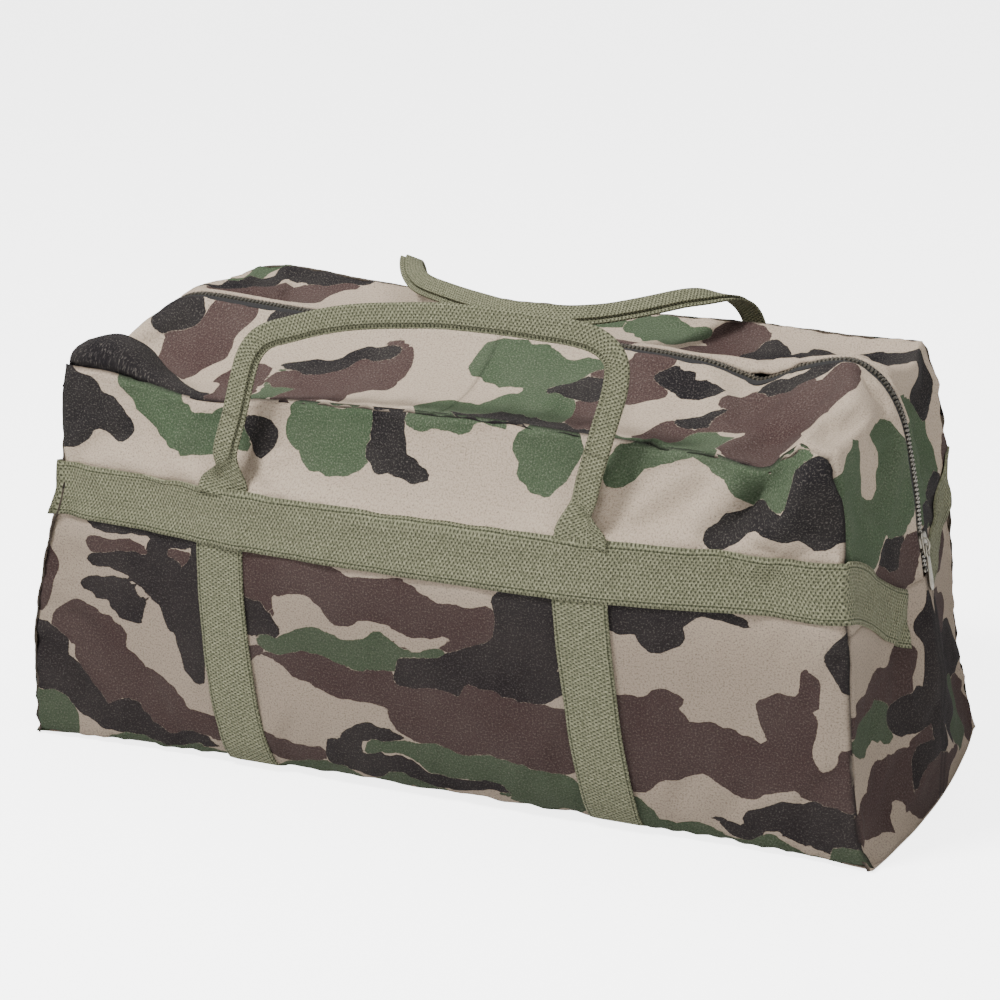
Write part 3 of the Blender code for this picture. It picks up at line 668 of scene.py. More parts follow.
class Surface:
    """One material and the nodes in it. A value is a number, a colour or another node's output."""

    def __init__(self, name):
        self.mat = bpy.data.materials.new(name)
        self.mat.use_nodes = True
        self.tree = self.mat.node_tree
        self.shader = self.tree.nodes["Principled BSDF"]

    def plug(self, socket, value):
        if isinstance(value, tuple):
            socket.default_value = (*value, 1.0)
        elif isinstance(value, (int, float)):
            socket.default_value = value
        else:
            self.tree.links.new(value, socket)

    def add(self, kind, output, inputs=None, **settings):
        n = self.tree.nodes.new(kind)
        for key, value in settings.items():
            setattr(n, key, value)
        for key, value in (inputs or {}).items():
            self.plug(n.inputs[key], value)
        return n.outputs[output]

    def attribute(self, name):
        return self.add("ShaderNodeAttribute", "Fac", attribute_name=name)

    def maths(self, op, *values):
        return self.add("ShaderNodeMath", 0, dict(enumerate(values)), operation=op)

    def times(self, a, b):
        return self.maths("MULTIPLY", a, b)

    def plus(self, a, b):
        return self.maths("ADD", a, b)

    def wave(self, value, period):
        return self.maths("SINE", self.times(value, 2 * math.pi / period))

    def noise(self, vector, scale, detail=2.0, rough=0.5):
        inputs = {"Vector": vector, "Scale": scale, "Detail": detail, "Roughness": rough}
        return self.add("ShaderNodeTexNoise", "Fac", inputs)

    def combine(self, x, y):
        return self.add("ShaderNodeCombineXYZ", 0, {0: x, 1: y})

    def ramp(self, value, zero_at, one_at):
        return self.add("ShaderNodeMapRange", 0, {"Value": value, "From Min": zero_at, "From Max": one_at})

    def mix(self, fac, a, b):
        return self.add("ShaderNodeMix", 2, {0: fac, 6: a, 7: b}, data_type="RGBA")

    def layers(self, colour, *coats):
        """Each coat is (where, strength, colour)."""
        for where, strength, shade in coats:
            colour = self.mix(self.times(where, strength), colour, shade)
        return colour

    def bumped(self, height, strength, distance):
        inputs = {"Height": height, "Strength": strength, "Distance": distance}
        self.finish({"Normal": self.add("ShaderNodeBump", 0, inputs)})

    def finish(self, inputs):
        for key, value in inputs.items():
            self.plug(self.shader.inputs[key], value)
        return self.mat


TAN = (0.430, 0.345, 0.262)
GREEN = (0.052, 0.080, 0.042)
BROWN = (0.056, 0.032, 0.029)
BLACK = (0.0085, 0.0075, 0.0090)
THREAD_PITCH = 0.00125
STITCH_LINE = 0.0208


def camo_material(name):
    m = Surface(name)
    cx, cy = m.attribute("cloth_x"), m.attribute("cloth_y")
    at = m.combine(cx, cy)
    wobble = m.times(m.maths("SUBTRACT", m.noise(at, 420), 0.5), 0.16)
    colour = TAN
    for key, shade in (("ink_green", GREEN), ("ink_brown", BROWN), ("ink_black", BLACK)):
        colour = m.mix(m.ramp(m.plus(m.attribute(key), wobble), -0.03, 0.03), colour, shade)
    # a fine light and dark speckle where the weave shows through, wear, painted shade low down, and painted
    # shade along the sewn edges and beside the zip
    speck = m.noise(at, 640, 3, 0.75)
    worn = m.noise(at, 14, 3, 0.55)
    colour = m.layers(colour,
                      (m.ramp(speck, 0.52, 0.70), 0.16, (0.60, 0.53, 0.46)),
                      (m.ramp(speck, 0.50, 0.32), 0.60, (0.020, 0.016, 0.016)),
                      (m.ramp(worn, 0.35, 0.7), 0.05, (0.40, 0.36, 0.31)),
                      (m.attribute("painted_low_shade"), 0.38, (0.020, 0.014, 0.014)),
                      (m.attribute("seam"), 0.85, (0.012, 0.010, 0.010)))
    weave = m.times(m.wave(cx, THREAD_PITCH), m.wave(cy, THREAD_PITCH))
    grain = m.noise(at, 260, 3, 0.6)
    m.bumped(m.plus(m.times(weave, 0.22), m.plus(m.times(speck, 0.9), m.times(grain, 1.3))), 0.8, 0.0011)
    return m.finish({"Base Color": colour, "Roughness": 0.92, "Specular IOR Level": 0.12})


def webbing_material(name):
    """cloth_x runs along the webbing, cloth_y across it, both in metres."""
    m = Surface(name)
    along, across = m.attribute("cloth_x"), m.attribute("cloth_y")
    at = m.combine(along, across)
    rib = m.wave(across, 0.0056)
    shift = m.times(m.maths("SIGN", rib), 0.25)
    tick = m.wave(m.plus(m.maths("DIVIDE", along, 0.0034), shift), 1)
    knot = m.times(m.maths("ABSOLUTE", rib), tick)
    speck = m.noise(at, 420, 3, 0.75)
    pits = m.ramp(m.plus(knot, m.times(speck, 1.6)), 0.95, 1.45)
    from_stitch = m.maths("ABSOLUTE", m.maths("SUBTRACT", m.maths("ABSOLUTE", across), STITCH_LINE))
    stitch = m.times(m.ramp(from_stitch, 0.0007, 0.0003), m.attribute("sewn"))
    colour = m.mix(m.ramp(speck, 0.36, 0.64), (0.082, 0.086, 0.050), (0.265, 0.260, 0.168))
    colour = m.layers(colour,
                      (pits, 0.84, (0.014, 0.015, 0.008)),
                      (stitch, 0.7, (0.022, 0.025, 0.012)),
                      (m.noise(at, 60), 0.18, (0.09, 0.10, 0.05)))
    m.bumped(m.plus(m.times(knot, 0.6), m.times(speck, 0.9)), 0.9, 0.0012)
    return m.finish({"Base Color": colour, "Roughness": 0.88, "Specular IOR Level": 0.2})


def plain_material(name, colour, speckle, rough, metal, bump_size=0.0):
    m = Surface(name)
    speck = m.noise(m.add("ShaderNodeNewGeometry", "Position"), 900)
    shade = m.mix(m.ramp(speck, 0.3, 0.7), colour, speckle)
    if bump_size:
        m.bumped(speck, 0.5, bump_size)
    return m.finish({"Base Color": shade, "Roughness": rough, "Metallic": metal})


CAMO = camo_material("camo_canvas")
WEB = webbing_material("olive_webbing")
TAPE = plain_material("zip_tape_cloth", (0.010, 0.009, 0.009), (0.008, 0.0072, 0.0072), 0.9, 0.0, 0.0004)
METAL = plain_material("zip_metal", (0.40, 0.37, 0.31), (0.26, 0.24, 0.20), 0.38, 1.0)


def finish_piece(obj, mat, slot, *nodes):
    obj.data.materials.clear()
    obj.data.materials.append(mat)
    if nodes:
        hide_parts(*nodes)
    # painted shade: the camouflage cloth is darkened towards the bottom, as if lit from above
    if mat is CAMO:
        heights = np.array([v.co.z for v in obj.data.vertices])
        put(obj, "painted_low_shade", 1 - ease(heights, 0.15, 0.27))


# ------------------------------------------------------------------ cloth panels

CLOTH = 0.0014
SEAM = Ripple(21, 0.02, 7)
FINE = Ripple(22, 0.05, 9)


def fine_axis(low, high, count, close=()):
    """Even steps, with extra lines close to both ends for the seams."""
    mid = np.linspace(low, high, count + 1)
    span = high - low
    extra = [low + d * span for d in close] + [high - d * span for d in close]
    return np.unique(np.round(np.concatenate([mid, extra]), 9))


def run_length(pos, axis):
    """Distance along each line of a grid, from its first point."""
    d = np.linalg.norm(np.diff(pos, axis=axis), axis=-1)
    zero = np.zeros_like(np.take(d, [0], axis=axis))
    return np.concatenate([zero, np.cumsum(d, axis)], axis)


def near_edges(pos, walls):
    """Distance in metres of each grid point from the chosen edges of its own grid."""
    u, v = run_length(pos, 0), run_length(pos, 1)
    away = {"u0": u, "u1": u[-1:] - u, "v0": v, "v1": v[:, -1:] - v}
    return np.min([np.full(u.shape, 9.0)] + [away[wall] for wall in walls], axis=0)


def seamed(pos, out, walls, x, y):
    """Rolls the cloth inwards at a sewn edge, with small puckers beside the stitches."""
    d = near_edges(pos, walls)
    corner = 1 + 1.6 * ease(pos[..., 2], 0.250, 0.290) * ease(pos[..., 0], 0.29, 0.32) * (pos[..., 1] < 0)
    groove = 0.0008 * bump(d, 0.007, 0.004) - 0.0026 * corner * bump(d, 0, 0.0022 * corner)
    pucker = 0.0007 * SEAM(x, y) * bump(d, 0.009, 0.013)
    return pos + out * (groove + pucker)[..., None]


def seam_shade(pos, walls):
    """1 in the shadow of a sewn edge, fading within a few millimetres."""
    return bump(near_edges(pos, walls), 0, 0.0024)


CLOSE_U = (0.002, 0.0045, 0.0085)
CLOSE_V = (0.0045, 0.0095, 0.018)
ALL_ROUND = ("u0", "u1", "v0", "v1")
FLOOR_GAP = 0.0004
fu = fine_axis(-1, 1, 2 * NU, CLOSE_U)
fv = fine_axis(0, 1, 2 * NV, CLOSE_V)
ft = fine_axis(-1, 1, 2 * ND, CLOSE_V)


def panel(name, skin, a, b, walls, shapes, up_axis, flip, node):
    """A flat panel of the body. Its print lies in x and the up_axis."""
    ga, gb = grid(a, b)
    pos = skin.place(ga, gb)
    out = skin.normal(ga, gb)
    cx, cy = pos[..., 0], pos[..., up_axis]
    pos = pos + out * (0.0003 * FINE(cx, cy))[..., None]
    pos = seamed(pos, out, walls, cx, cy)
    pos[..., 2] = np.maximum(pos[..., 2], FLOOR_GAP)
    obj = build(name, pos, CLOTH, flip)
    dye(obj, paint(shapes, cx, cy), cx, cy)
    put(obj, "seam", seam_shade(pos, walls))
    finish_piece(obj, CAMO, "camo_cloth", node)
    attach(obj, "tub")


panel("front_cloth", FRONT, fu, fv, ALL_ROUND, PRINT_FRONT, 2, False, "front_panel")
panel("back_cloth", BACK, fu, fv, ALL_ROUND, PRINT_BACK, 2, True, "back_panel")
panel("bottom_cloth", BOTTOM, fine_axis(-1, 1, NU), fine_axis(-1, 1, ND), (), PRINT_BOTTOM, 1, True,
      "bottom_panel")

HALF_WIDTH = 0.158
ZIP_HALF = 0.0052
ZIP_T = ZIP_HALF / HALF_WIDTH
SPLIT_P = 0.145


def two_faced(obj, pos):
    """Prints a gusset piece: end shapes low on the ends, top shapes over the top, joined at the corner."""
    x, y, z = pos[..., 0], pos[..., 1], pos[..., 2]
    on_end = ease(np.abs(x) - 0.315 + (0.345 - z) * 0.9, -0.012, 0.012)
    end_field = np.where(x > 0, paint(PRINT_END, y, z), paint(PRINT_LEFT, y, z))
    dye(obj, paint(PRINT_TOP, x, y) * (1 - on_end) + end_field * on_end, run_length(pos, 0), y)


def open_with_lid(obj):
    """Bakes a piece of the lid in place: its placement goes into its mesh."""
    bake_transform(obj)


def gusset_piece(name, p_axis, t_axis, walls, nodes, lid_side=0):
    gp, gt = grid(p_axis, t_axis)
    pos = GUSSET.place(gp, gt)
    out = GUSSET.normal(gp, gt, 0.003)
    pos = pos + out * (0.0003 * FINE(pos[..., 0] + pos[..., 2], pos[..., 1]))[..., None]
    plain = pos.copy()
    pos = seamed(pos, out, walls, pos[..., 0] + pos[..., 2], pos[..., 1])
    from_zip = np.abs(gt) * HALF_WIDTH - ZIP_HALF
    # a piece with one sewn edge has the zip along the other
    if len(walls) == 1:
        tuck = 0.0022 * bump(from_zip, 0, 0.0035) - 0.0009 * bump(from_zip, 0.009, 0.005)
        pos = pos - out * tuck[..., None]
    pos[..., 2] = np.maximum(pos[..., 2], FLOOR_GAP)
    obj = build(name, pos, CLOTH, True)
    two_faced(obj, plain)
    # painted shade at the sewn edges, and a thin painted shade line each side of the zip's line where the
    # cloth tucks in; the same line is also drawn down the middle of the end pieces
    put(obj, "seam", np.maximum(seam_shade(plain, walls), 0.8 * bump(from_zip, 0, 0.0016)))
    finish_piece(obj, CAMO, "camo_cloth", *nodes)
    if lid_side:
        open_with_lid(obj)
    else:
        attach(obj, "tub")


def path_axis(low, high):
    """The skin's own path shares between two limits, and the places half way between them."""
    inner = P[(P > low + 0.001) & (P < high - 0.001)]
    places = np.concatenate([[low], inner, [high]])
    return np.unique(np.concatenate([places, (places[1:] + places[:-1]) / 2]))


end_axis = path_axis(0, SPLIT_P)
for side, axis in (("right", end_axis), ("left", 1 - end_axis[::-1])):
    gusset_piece(side + "_end_cloth", axis, ft, ("v0", "v1"), [side + "_end_lower"])
front_t = np.concatenate([[-1, -0.986, -0.97, -0.945], np.linspace(-0.92, -0.075, 30),
                          [-0.055, -0.043, -ZIP_T]])
gusset_piece("top_front_right", path_axis(SPLIT_P, 0.5), front_t, ("v0",),
             ["right_end_front", "front_flap"], 1)
gusset_piece("top_front_left", path_axis(0.5, 1 - SPLIT_P), front_t, ("v0",),
             ["left_end_front"], -1)
gusset_piece("top_rear_cloth", path_axis(SPLIT_P, 1 - SPLIT_P), -front_t[::-1], ("v1",),
             ["rear_top", "right_end_rear", "left_end_rear"])

# a narrow facing under the front seam, hidden until the lid opens
facing_p, facing_t = grid(path_axis(0.262, 0.738), np.linspace(-0.997, -0.86, 7))
facing_pos = GUSSET.place(facing_p, facing_t) - GUSSET.normal(facing_p, facing_t, 0.003) * 0.0036
facing = build("seam_facing", facing_pos, 0.0010, True)
two_faced(facing, facing_pos)
# painted shade: the whole facing is darkened a little, as it lies in the shade under the front seam
put(facing, "seam", 0.3 + 0 * facing_p)
finish_piece(facing, CAMO, "camo_cloth")
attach(facing, "tub")


# ------------------------------------------------------------------ webbing

WEB_THICK = 0.0017
BAND_Z = 0.2315
BAND_HALF = 0.0250
CORNER_Y = 0.166
BAND_END_T = 0.041 / CORNER_Y
BAND_DROOP = 0.060
STRAP_HALF = 0.0232


def strap_centre(side, z):
    """Where a strap's centre line crosses height z on the front. The straps hang slightly askew."""
    if side < 0:
        return curve([(0, -0.167), (0.03, -0.172), (0.10, -0.180), (0.21, -0.183), (0.26, -0.181)], z)
    return curve([(0, 0.168), (0.03, 0.166), (0.10, 0.157), (0.21, 0.148), (0.26, 0.147)], z)


def selvedge(c):
    """Height of a woven band across its width: a thin selvedge at both edges."""
    return -0.0004 * (np.abs(c) > 0.985)[None, :]


def column(line, places, offsets, level):
    """Parameters of points at arc lengths from where a line of skin points crosses a height."""
    run = run_length(line, 0)
    order = np.argsort(line[:, 2])
    start = np.interp(level, line[order, 2], run[order])
    return np.interp(start + offsets, run, places)


def face_column(skin, u, low, offsets):
    """Height shares on the front or back, at arc lengths from the middle of the band."""
    v = np.linspace(low, 0.98, 240)
    return column(skin.place(np.full(v.shape, u), v), v, offsets, BAND_Z)


def softened(pos, out):
    """Rows as arrays, with their directions smoothed round the corners."""
    pos, out = np.array(pos), np.array(out)
    for _ in range(2):
        out[1:-1] = out[:-2] + out[1:-1] * 2 + out[2:]
        out /= np.linalg.norm(out, axis=-1, keepdims=True)
    return pos, out


def along_middle(pos):
    """Length along a strip, measured down its middle column."""
    middle = pos.shape[1] // 2
    return run_length(pos, 0)[:, middle:middle + 1] + 0 * pos[..., 0]


def lay_webbing(name, pos, along, across, flip, nodes):
    obj = build(name, pos, WEB_THICK, flip)
    put(obj, "cloth_x", along)
    put(obj, "cloth_y", across[None, :] + 0 * along)
    put(obj, "sewn", 1 + 0 * along)
    finish_piece(obj, WEB, "webbing", *nodes)
    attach(obj, "tub")


def band_end(side, end, c):
    """Columns of a band on one end, from beside the zip to the corner, sagging towards the zip."""
    p = np.linspace(0.0, 0.19, 240)
    p = p if end > 0 else 1 - p
    for t in side * np.linspace(BAND_END_T, 1.0, 26):
        share = (1 - abs(t)) / (1 - BAND_END_T)
        level = BAND_Z - BAND_DROOP * share ** 1.05 + 0.003 * math.sin(share * 5.5)
        here = column(GUSSET.place(p, np.full(p.shape, t)), p, c * BAND_HALF * 1.04, level)
        tt = np.full(here.shape, t)
        yield GUSSET.place(here, tt), GUSSET.normal(here, tt, 0.004)


def band(name, side, nodes):
    """The band from the left end, across the front or back, to the right end."""
    c = np.linspace(-1, 1, 13)
    skin = FRONT if side < 0 else BACK
    rows = list(band_end(side, -1, c))
    for u in np.unique(np.concatenate([np.linspace(-1, 1, 150), [-0.997, -0.993, 0.993, 0.997]])):
        v = face_column(skin, u, 0.35, c * BAND_HALF)
        uu = np.full(v.shape, u)
        rows.append((skin.place(uu, v), skin.normal(uu, v, 0.006)))
    rows += list(band_end(side, 1, c))[::-1]
    pos, out = softened(*zip(*rows))
    along = along_middle(pos)
    # it lies higher where it crosses the straps, and at the sharp corners
    on_face = np.abs(pos[..., 1]) > CORNER_Y
    over = 0.0
    for s in (-1, 1):
        over = over + ease(-np.abs(pos[..., 0] - strap_centre(s, 0.23)), -0.0262, -0.0225) * on_face
    lift = WEB_THICK + 0.0013 + over * (WEB_THICK + 0.0002)
    turn = np.linalg.norm(np.diff(out[:, 6], axis=0), axis=-1)
    for centre in along[:, 0][np.concatenate([[0.0], turn]) > 0.25]:
        lift = lift + 0.0006 * bump(along, centre, 0.006)
    wave = 0.0005 * SEAM(along * 0.5, c[None, :] * 0.02 + 0 * along)
    made = pos + out * (lift + wave + selvedge(c))[..., None]
    lay_webbing(name, made, along, c * BAND_HALF, side > 0, nodes)


band("front_band_webbing", -1, ("front_band", "right_band_front", "left_band_front"))
band("rear_band_webbing", 1, ("rear_band", "right_band_rear", "left_band_rear"))


def strap_row(skin, side, v, across):
    """One row of a strap on the front or back, at the given x values."""
    u = np.sort(np.linspace(0.1, 0.75, 160) * side)
    uu = np.interp(across, skin.place(u, np.full(u.shape, v))[:, 0], u)
    vv = np.full(across.shape, v)
    return skin.place(uu, vv), skin.normal(uu, vv, 0.006)


def strap(word, side):
    """A strap from under the front band, down, beneath the base and up the back to the rear band."""
    across = np.linspace(-1, 1, 11) * STRAP_HALF
    top_v = face_column(FRONT, 0.4 * side, 0.3, np.array([0.0225]))[0]
    rows = []
    for v in np.linspace(top_v, 0, 56):
        z = float(FRONT.place(np.array([0.4 * side]), np.array([v]))[0, 2])
        rows.append(strap_row(FRONT, side, v, float(strap_centre(side, z)) + across))
    foot_x = float(strap_centre(side, 0.0)) + across
    for w in np.linspace(-0.985, 0.985, 40):
        under = BOTTOM.place(foot_x / 0.385, np.full(across.shape, w))
        rows.append((under, np.tile([0, 0, -1.0], (len(across), 1))))
    for v in np.linspace(0, top_v, 56):
        rows.append(strap_row(BACK, side, v, foot_x))
    pos, out = softened(*zip(*rows))
    along = along_middle(pos)
    lift = WEB_THICK + 0.0011 + selvedge(across / STRAP_HALF) + 0.0004 * SEAM(along * 0.5 + side, 0 * along)
    made = pos + out * lift[..., None]
    made[..., 2] = np.maximum(made[..., 2], -0.0009)
    lay_webbing(word + "_strap_webbing", made, along, across, False,
                (word + "_strap_front", word + "_strap_under", word + "_strap_rear"))


strap("left", -1)
strap("right", 1)


# ------------------------------------------------------------------ handles

FOLD_GAP = 0.0021
FRONT_LAYER = 0.0148
BACK_LAYER = 0.0196
HANDLE_EDGE = 0.0112
OPEN_WIDTH = 0.045
HANDLE_CLOTH = 0.047
FACE_HALF = 0.352
GRIP_Z = 0.322
FREE_Z = 0.262
HINGE_A, HINGE_B = 0.2500, 0.2750


def folded(c):
    """Webbing folded along its length: c is 0..1 across the cloth. Gives (across, out)."""
    bend = c * (FRONT_LAYER + BACK_LAYER + math.pi * FOLD_GAP) - FRONT_LAYER
    angle = np.clip(bend / FOLD_GAP, 0, math.pi)
    edge = HANDLE_EDGE - FOLD_GAP
    back = edge - (bend - math.pi * FOLD_GAP)
    rounded = np.where(angle < math.pi, edge + FOLD_GAP * np.sin(angle), back)
    return np.where(bend < 0, edge + bend, rounded), FOLD_GAP * np.cos(angle)


def sweep(keys, outward, count=150):
    """Sweeps the folded webbing along a path. At the feet it opens out flat."""
    keys = np.array(keys, float)
    run = run_length(keys, 0)
    s = np.linspace(0, run[-1], count)
    path = curve(np.concatenate([run[:, None], keys], 1), s)
    for _ in range(3):
        path[1:-1] = (path[:-2] + 2 * path[1:-1] + path[2:]) / 4
    tangent = np.gradient(path, axis=0)
    tangent /= np.linalg.norm(tangent, axis=1, keepdims=True)
    c = np.linspace(0, 1, 25)
    fold_a, fold_n = folded(c)
    strip = np.zeros((count, len(c), 3))
    for i in range(count):
        n = np.array(outward(path[i]))
        n = n - tangent[i] * np.dot(n, tangent[i])
        n /= np.linalg.norm(n)
        flat = float(ease(-path[i][2], -0.292, -0.258))
        flat_n = 0.0016 * np.sin(c * 3 * math.pi) * flat * (1 - flat) * 4 + 0.0006
        aa = fold_a * (1 - flat) + (c - 0.5) * -OPEN_WIDTH * flat
        nn = fold_n * (1 - flat) + flat_n * flat
        strip[i] = path[i] + aa[:, None] * np.cross(n, tangent[i]) + nn[:, None] * n
    return strip, s, path


def handle_piece(name, strip, s, rows, nodes, hinge):
    part = strip[rows]
    obj = build(name, part, 0.0015, False)
    along = s[rows][:, None] + np.zeros(part.shape[:2])
    put(obj, "cloth_x", along)
    put(obj, "cloth_y", np.linspace(-0.5, 0.5, part.shape[1])[None, :] * HANDLE_CLOTH + 0 * along)
    finish_piece(obj, WEB, "webbing", *nodes)
    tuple(hinge[0])
    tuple(hinge[1])
    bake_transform(obj)


def carry_handle(word, keys, outward, leg_y, grip_hinge):
    """Two legs sewn to the body and the grip between them, cut from one strip of folded webbing."""
    strip, s, path = sweep(keys, outward)
    z = path[:, 2]
    middle = len(z) // 2
    left = int(np.argmin(np.abs(z[:middle] - GRIP_Z)))
    right = middle + int(np.argmin(np.abs(z[middle:] - GRIP_Z)))
    leg_hinge = ((0, leg_y, HINGE_A), (0, leg_y, HINGE_B))
    for tag, rows in (("left", slice(0, left + 1)), ("right", slice(right, len(z)))):
        handle_piece(f"{word}_leg_{tag}_webbing", strip, s, rows, [f"{word}_leg_{tag}"],
                     leg_hinge)
    handle_piece(word + "_grip_webbing", strip, s, slice(left, right + 1),
                 [word + "_arm_left", word + "_arm_right", word + "_grip"],
                 grip_hinge)


def face_y(skin, x, z):
    """The y of the front's or back's own surface at (x, z)."""
    v = np.linspace(0.3, 1.0, 120)
    line = skin.place(np.full(v.shape, x / FACE_HALF), v)
    return float(np.interp(z, line[:, 2], line[:, 1]))


FRONT_HANDLE = [(-0.181, 0.2500), (-0.179, 0.262), (-0.174, 0.290), (-0.167, 0.323), (-0.1615, 0.353),
                (-0.156, 0.373), (-0.144, 0.388), (-0.121, 0.3965), (-0.095, 0.405), (-0.063, 0.4125),
                (-0.016, 0.4185), (0.023, 0.4215), (0.062, 0.4215), (0.099, 0.420), (0.132, 0.418),
                (0.155, 0.412), (0.168, 0.397), (0.167, 0.376), (0.161, 0.352), (0.155, 0.327),
                (0.149, 0.299), (0.147, 0.271), (0.1465, 0.2500)]
REAR_HANDLE = [(-0.168, 0.186, 0.250), (-0.167, 0.190, 0.275), (-0.166, 0.188, 0.310),
               (-0.166, 0.182, 0.345), (-0.165, 0.172, 0.372), (-0.160, 0.154, 0.3835),
               (-0.145, 0.122, 0.3800), (-0.120, 0.090, 0.3775), (-0.080, 0.062, 0.3775),
               (-0.042, 0.040, 0.3780), (-0.006, 0.023, 0.3785), (0.036, 0.022, 0.3790),
               (0.068, 0.040, 0.3790), (0.088, 0.060, 0.3800), (0.108, 0.080, 0.3825),
               (0.128, 0.102, 0.3850), (0.145, 0.124, 0.3830), (0.157, 0.148, 0.3760),
               (0.164, 0.170, 0.3580), (0.167, 0.184, 0.325), (0.167, 0.190, 0.295),
               (0.167, 0.190, 0.275), (0.167, 0.186, 0.250)]
LEAN = [(0.25, -0.196), (0.30, -0.186), (0.34, -0.178), (0.375, -0.173), (0.41, -0.169)]

# both handles lie against the cloth at their feet and clear of it above
front_keys = []
for x, z in FRONT_HANDLE:
    skin_y = face_y(FRONT, x, z) if z < 0.338 else 0.0
    free = min(float(curve(LEAN, z)), skin_y - 0.0040)
    front_keys.append((x, free if z > FREE_Z else skin_y - 0.0022, z))
rear_keys = []
for x, y, z in REAR_HANDLE:
    near = face_y(BACK, x, z) + (0.0040 if z > FREE_Z else 0.0022) if z < 0.34 else 0.0
    rear_keys.append((x, max(y, near) if z > FREE_Z else near, z))


def rear_out(p):
    """The rear grip lies over on the top of the bag, so its outer face turns up and over."""
    turn = math.radians(128) * float(ease(-p[1], -0.182, -0.105))
    return (0, math.cos(turn), math.sin(turn))


LEG_Y = 0.1785
carry_handle("front", front_keys, lambda p: (0, -1, 0.12), -LEG_Y,
             ((0, -LEG_Y, 0.352), (0, -LEG_Y, 0.392)))
carry_handle("rear", rear_keys, rear_out, LEG_Y,
             ((0, 0.184, 0.352), (0, 0.162, 0.384)))


# ------------------------------------------------------------------ zip

TOOTH_PITCH = 0.0036
TOOTH_INNER, TOOTH_OUTER = -0.0011, 0.0048
TAPE_Y = np.array([0.0006, 0.0036, 0.0044, 0.0070, 0.0095, 0.0115])
TAPE_DROP = np.array([0.0034, 0.0032, 0.0018, 0.0022, 0.0030, 0.0038])
P_STOP = 0.1478


def zip_line(p_low, p_high, count):
    """Points along the middle of the gusset, and the way out from the bag at each."""
    p = np.linspace(p_low, p_high, count)
    q = GUSSET.place(p, 0 * p)
    n = GUSSET.normal(p, 0 * p, 0.004)
    n[:, 1] = 0
    n /= np.linalg.norm(n, axis=1, keepdims=True)
    q[:, 1] = 0
    return q, n


def zip_tape(name, side, p_low, p_high):
    q, n = zip_line(p_low, p_high, 150)
    pos = q[:, None, :] - n[:, None, :] * TAPE_DROP[None, :, None]
    pos[..., 1] = side * TAPE_Y[None, :]
    return build(name, pos, 0.0009, side < 0)


def tooth_rows(name, side, p_low, p_high):
    """Metal teeth clamped on the inner edge of one tape."""
    q, n = zip_line(p_low, p_high, 900)
    run = run_length(q, 0)
    t = np.gradient(q, axis=0)
    t /= np.linalg.norm(t, axis=1, keepdims=True)
    first = 0.001 + (0.5 * TOOTH_PITCH if side > 0 else 0)
    points, faces = [], []
    for s in np.arange(first, run[-1] - 0.001, TOOTH_PITCH):
        i = min(int(np.searchsorted(run, s)), len(q) - 1)
        base = len(points)
        for down, wide in ((0.0026, 0.00085), (0.0001, 0.00062)):
            for y, half in ((TOOTH_INNER, wide * 0.75), (TOOTH_OUTER, wide * 1.15)):
                for e in (-1, 1):
                    point = q[i] - n[i] * down + t[i] * e * half
                    points.append((point[0], side * y, point[2]))
        for f in ((0, 1, 3, 2), (4, 6, 7, 5), (0, 4, 5, 1), (2, 3, 7, 6), (0, 2, 6, 4), (1, 5, 7, 3)):
            faces.append([base + k for k in f])
    obj = mesh_object(name, points, faces)
    bm = bmesh.new()
    bm.from_mesh(obj.data)
    bmesh.ops.recalc_face_normals(bm, faces=bm.faces)
    bm.to_mesh(obj.data)
    bm.free()
    return obj


for side, word in ((-1, "front"), (1, "rear")):
    for tag, low, high in (("right", P_STOP, 0.5), ("left", 0.5, 1 - P_STOP)):
        tape = zip_tape(f"zip_tape_{word}_{tag}", side, low, high)
        teeth = tooth_rows(f"zip_teeth_{word}_{tag}", side, low, high)
        for obj, mat, slot, kind in ((tape, TAPE, "zip_tape", "tape"), (teeth, METAL, "zip_metal", "teeth")):
            top_node = [f"{word}_zip_{kind}"] if tag == "right" else []
            finish_piece(obj, mat, slot, f"{tag}_zip_{kind}_{word}", *top_node)
            if side < 0:
                open_with_lid(obj)
            else:
                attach(obj, "tub")


# ------------------------------------------------------------------ slider and pull


ACROSS = Vector((0, 1, 0))


def mirrored(half):
    """A closed loop from half an outline of (along, half width)."""
    return half + [(a, -w) for a, w in reversed(half)]


def plate(loop, low, high, origin, up, out):
    """A flat metal plate with rounded edges, from an outline in (up, across), between two heights."""
    bm = bmesh.new()
    verts = [bm.verts.new(origin + up * a + ACROSS * w + out * low) for a, w in loop]
    made = bmesh.ops.extrude_face_region(bm, geom=[bm.faces.new(verts)])
    top = [g for g in made["geom"] if isinstance(g, bmesh.types.BMVert)]
    bmesh.ops.translate(bm, verts=top, vec=out * (high - low))
    bmesh.ops.recalc_face_normals(bm, faces=bm.faces)
    edges = [e for e in bm.edges if len(e.link_faces) == 2 and abs(e.calc_face_angle(0)) > 0.9]
    bmesh.ops.bevel(bm, geom=edges, offset=0.35 * (high - low), segments=3, profile=0.5, affect="EDGES")
    return bm


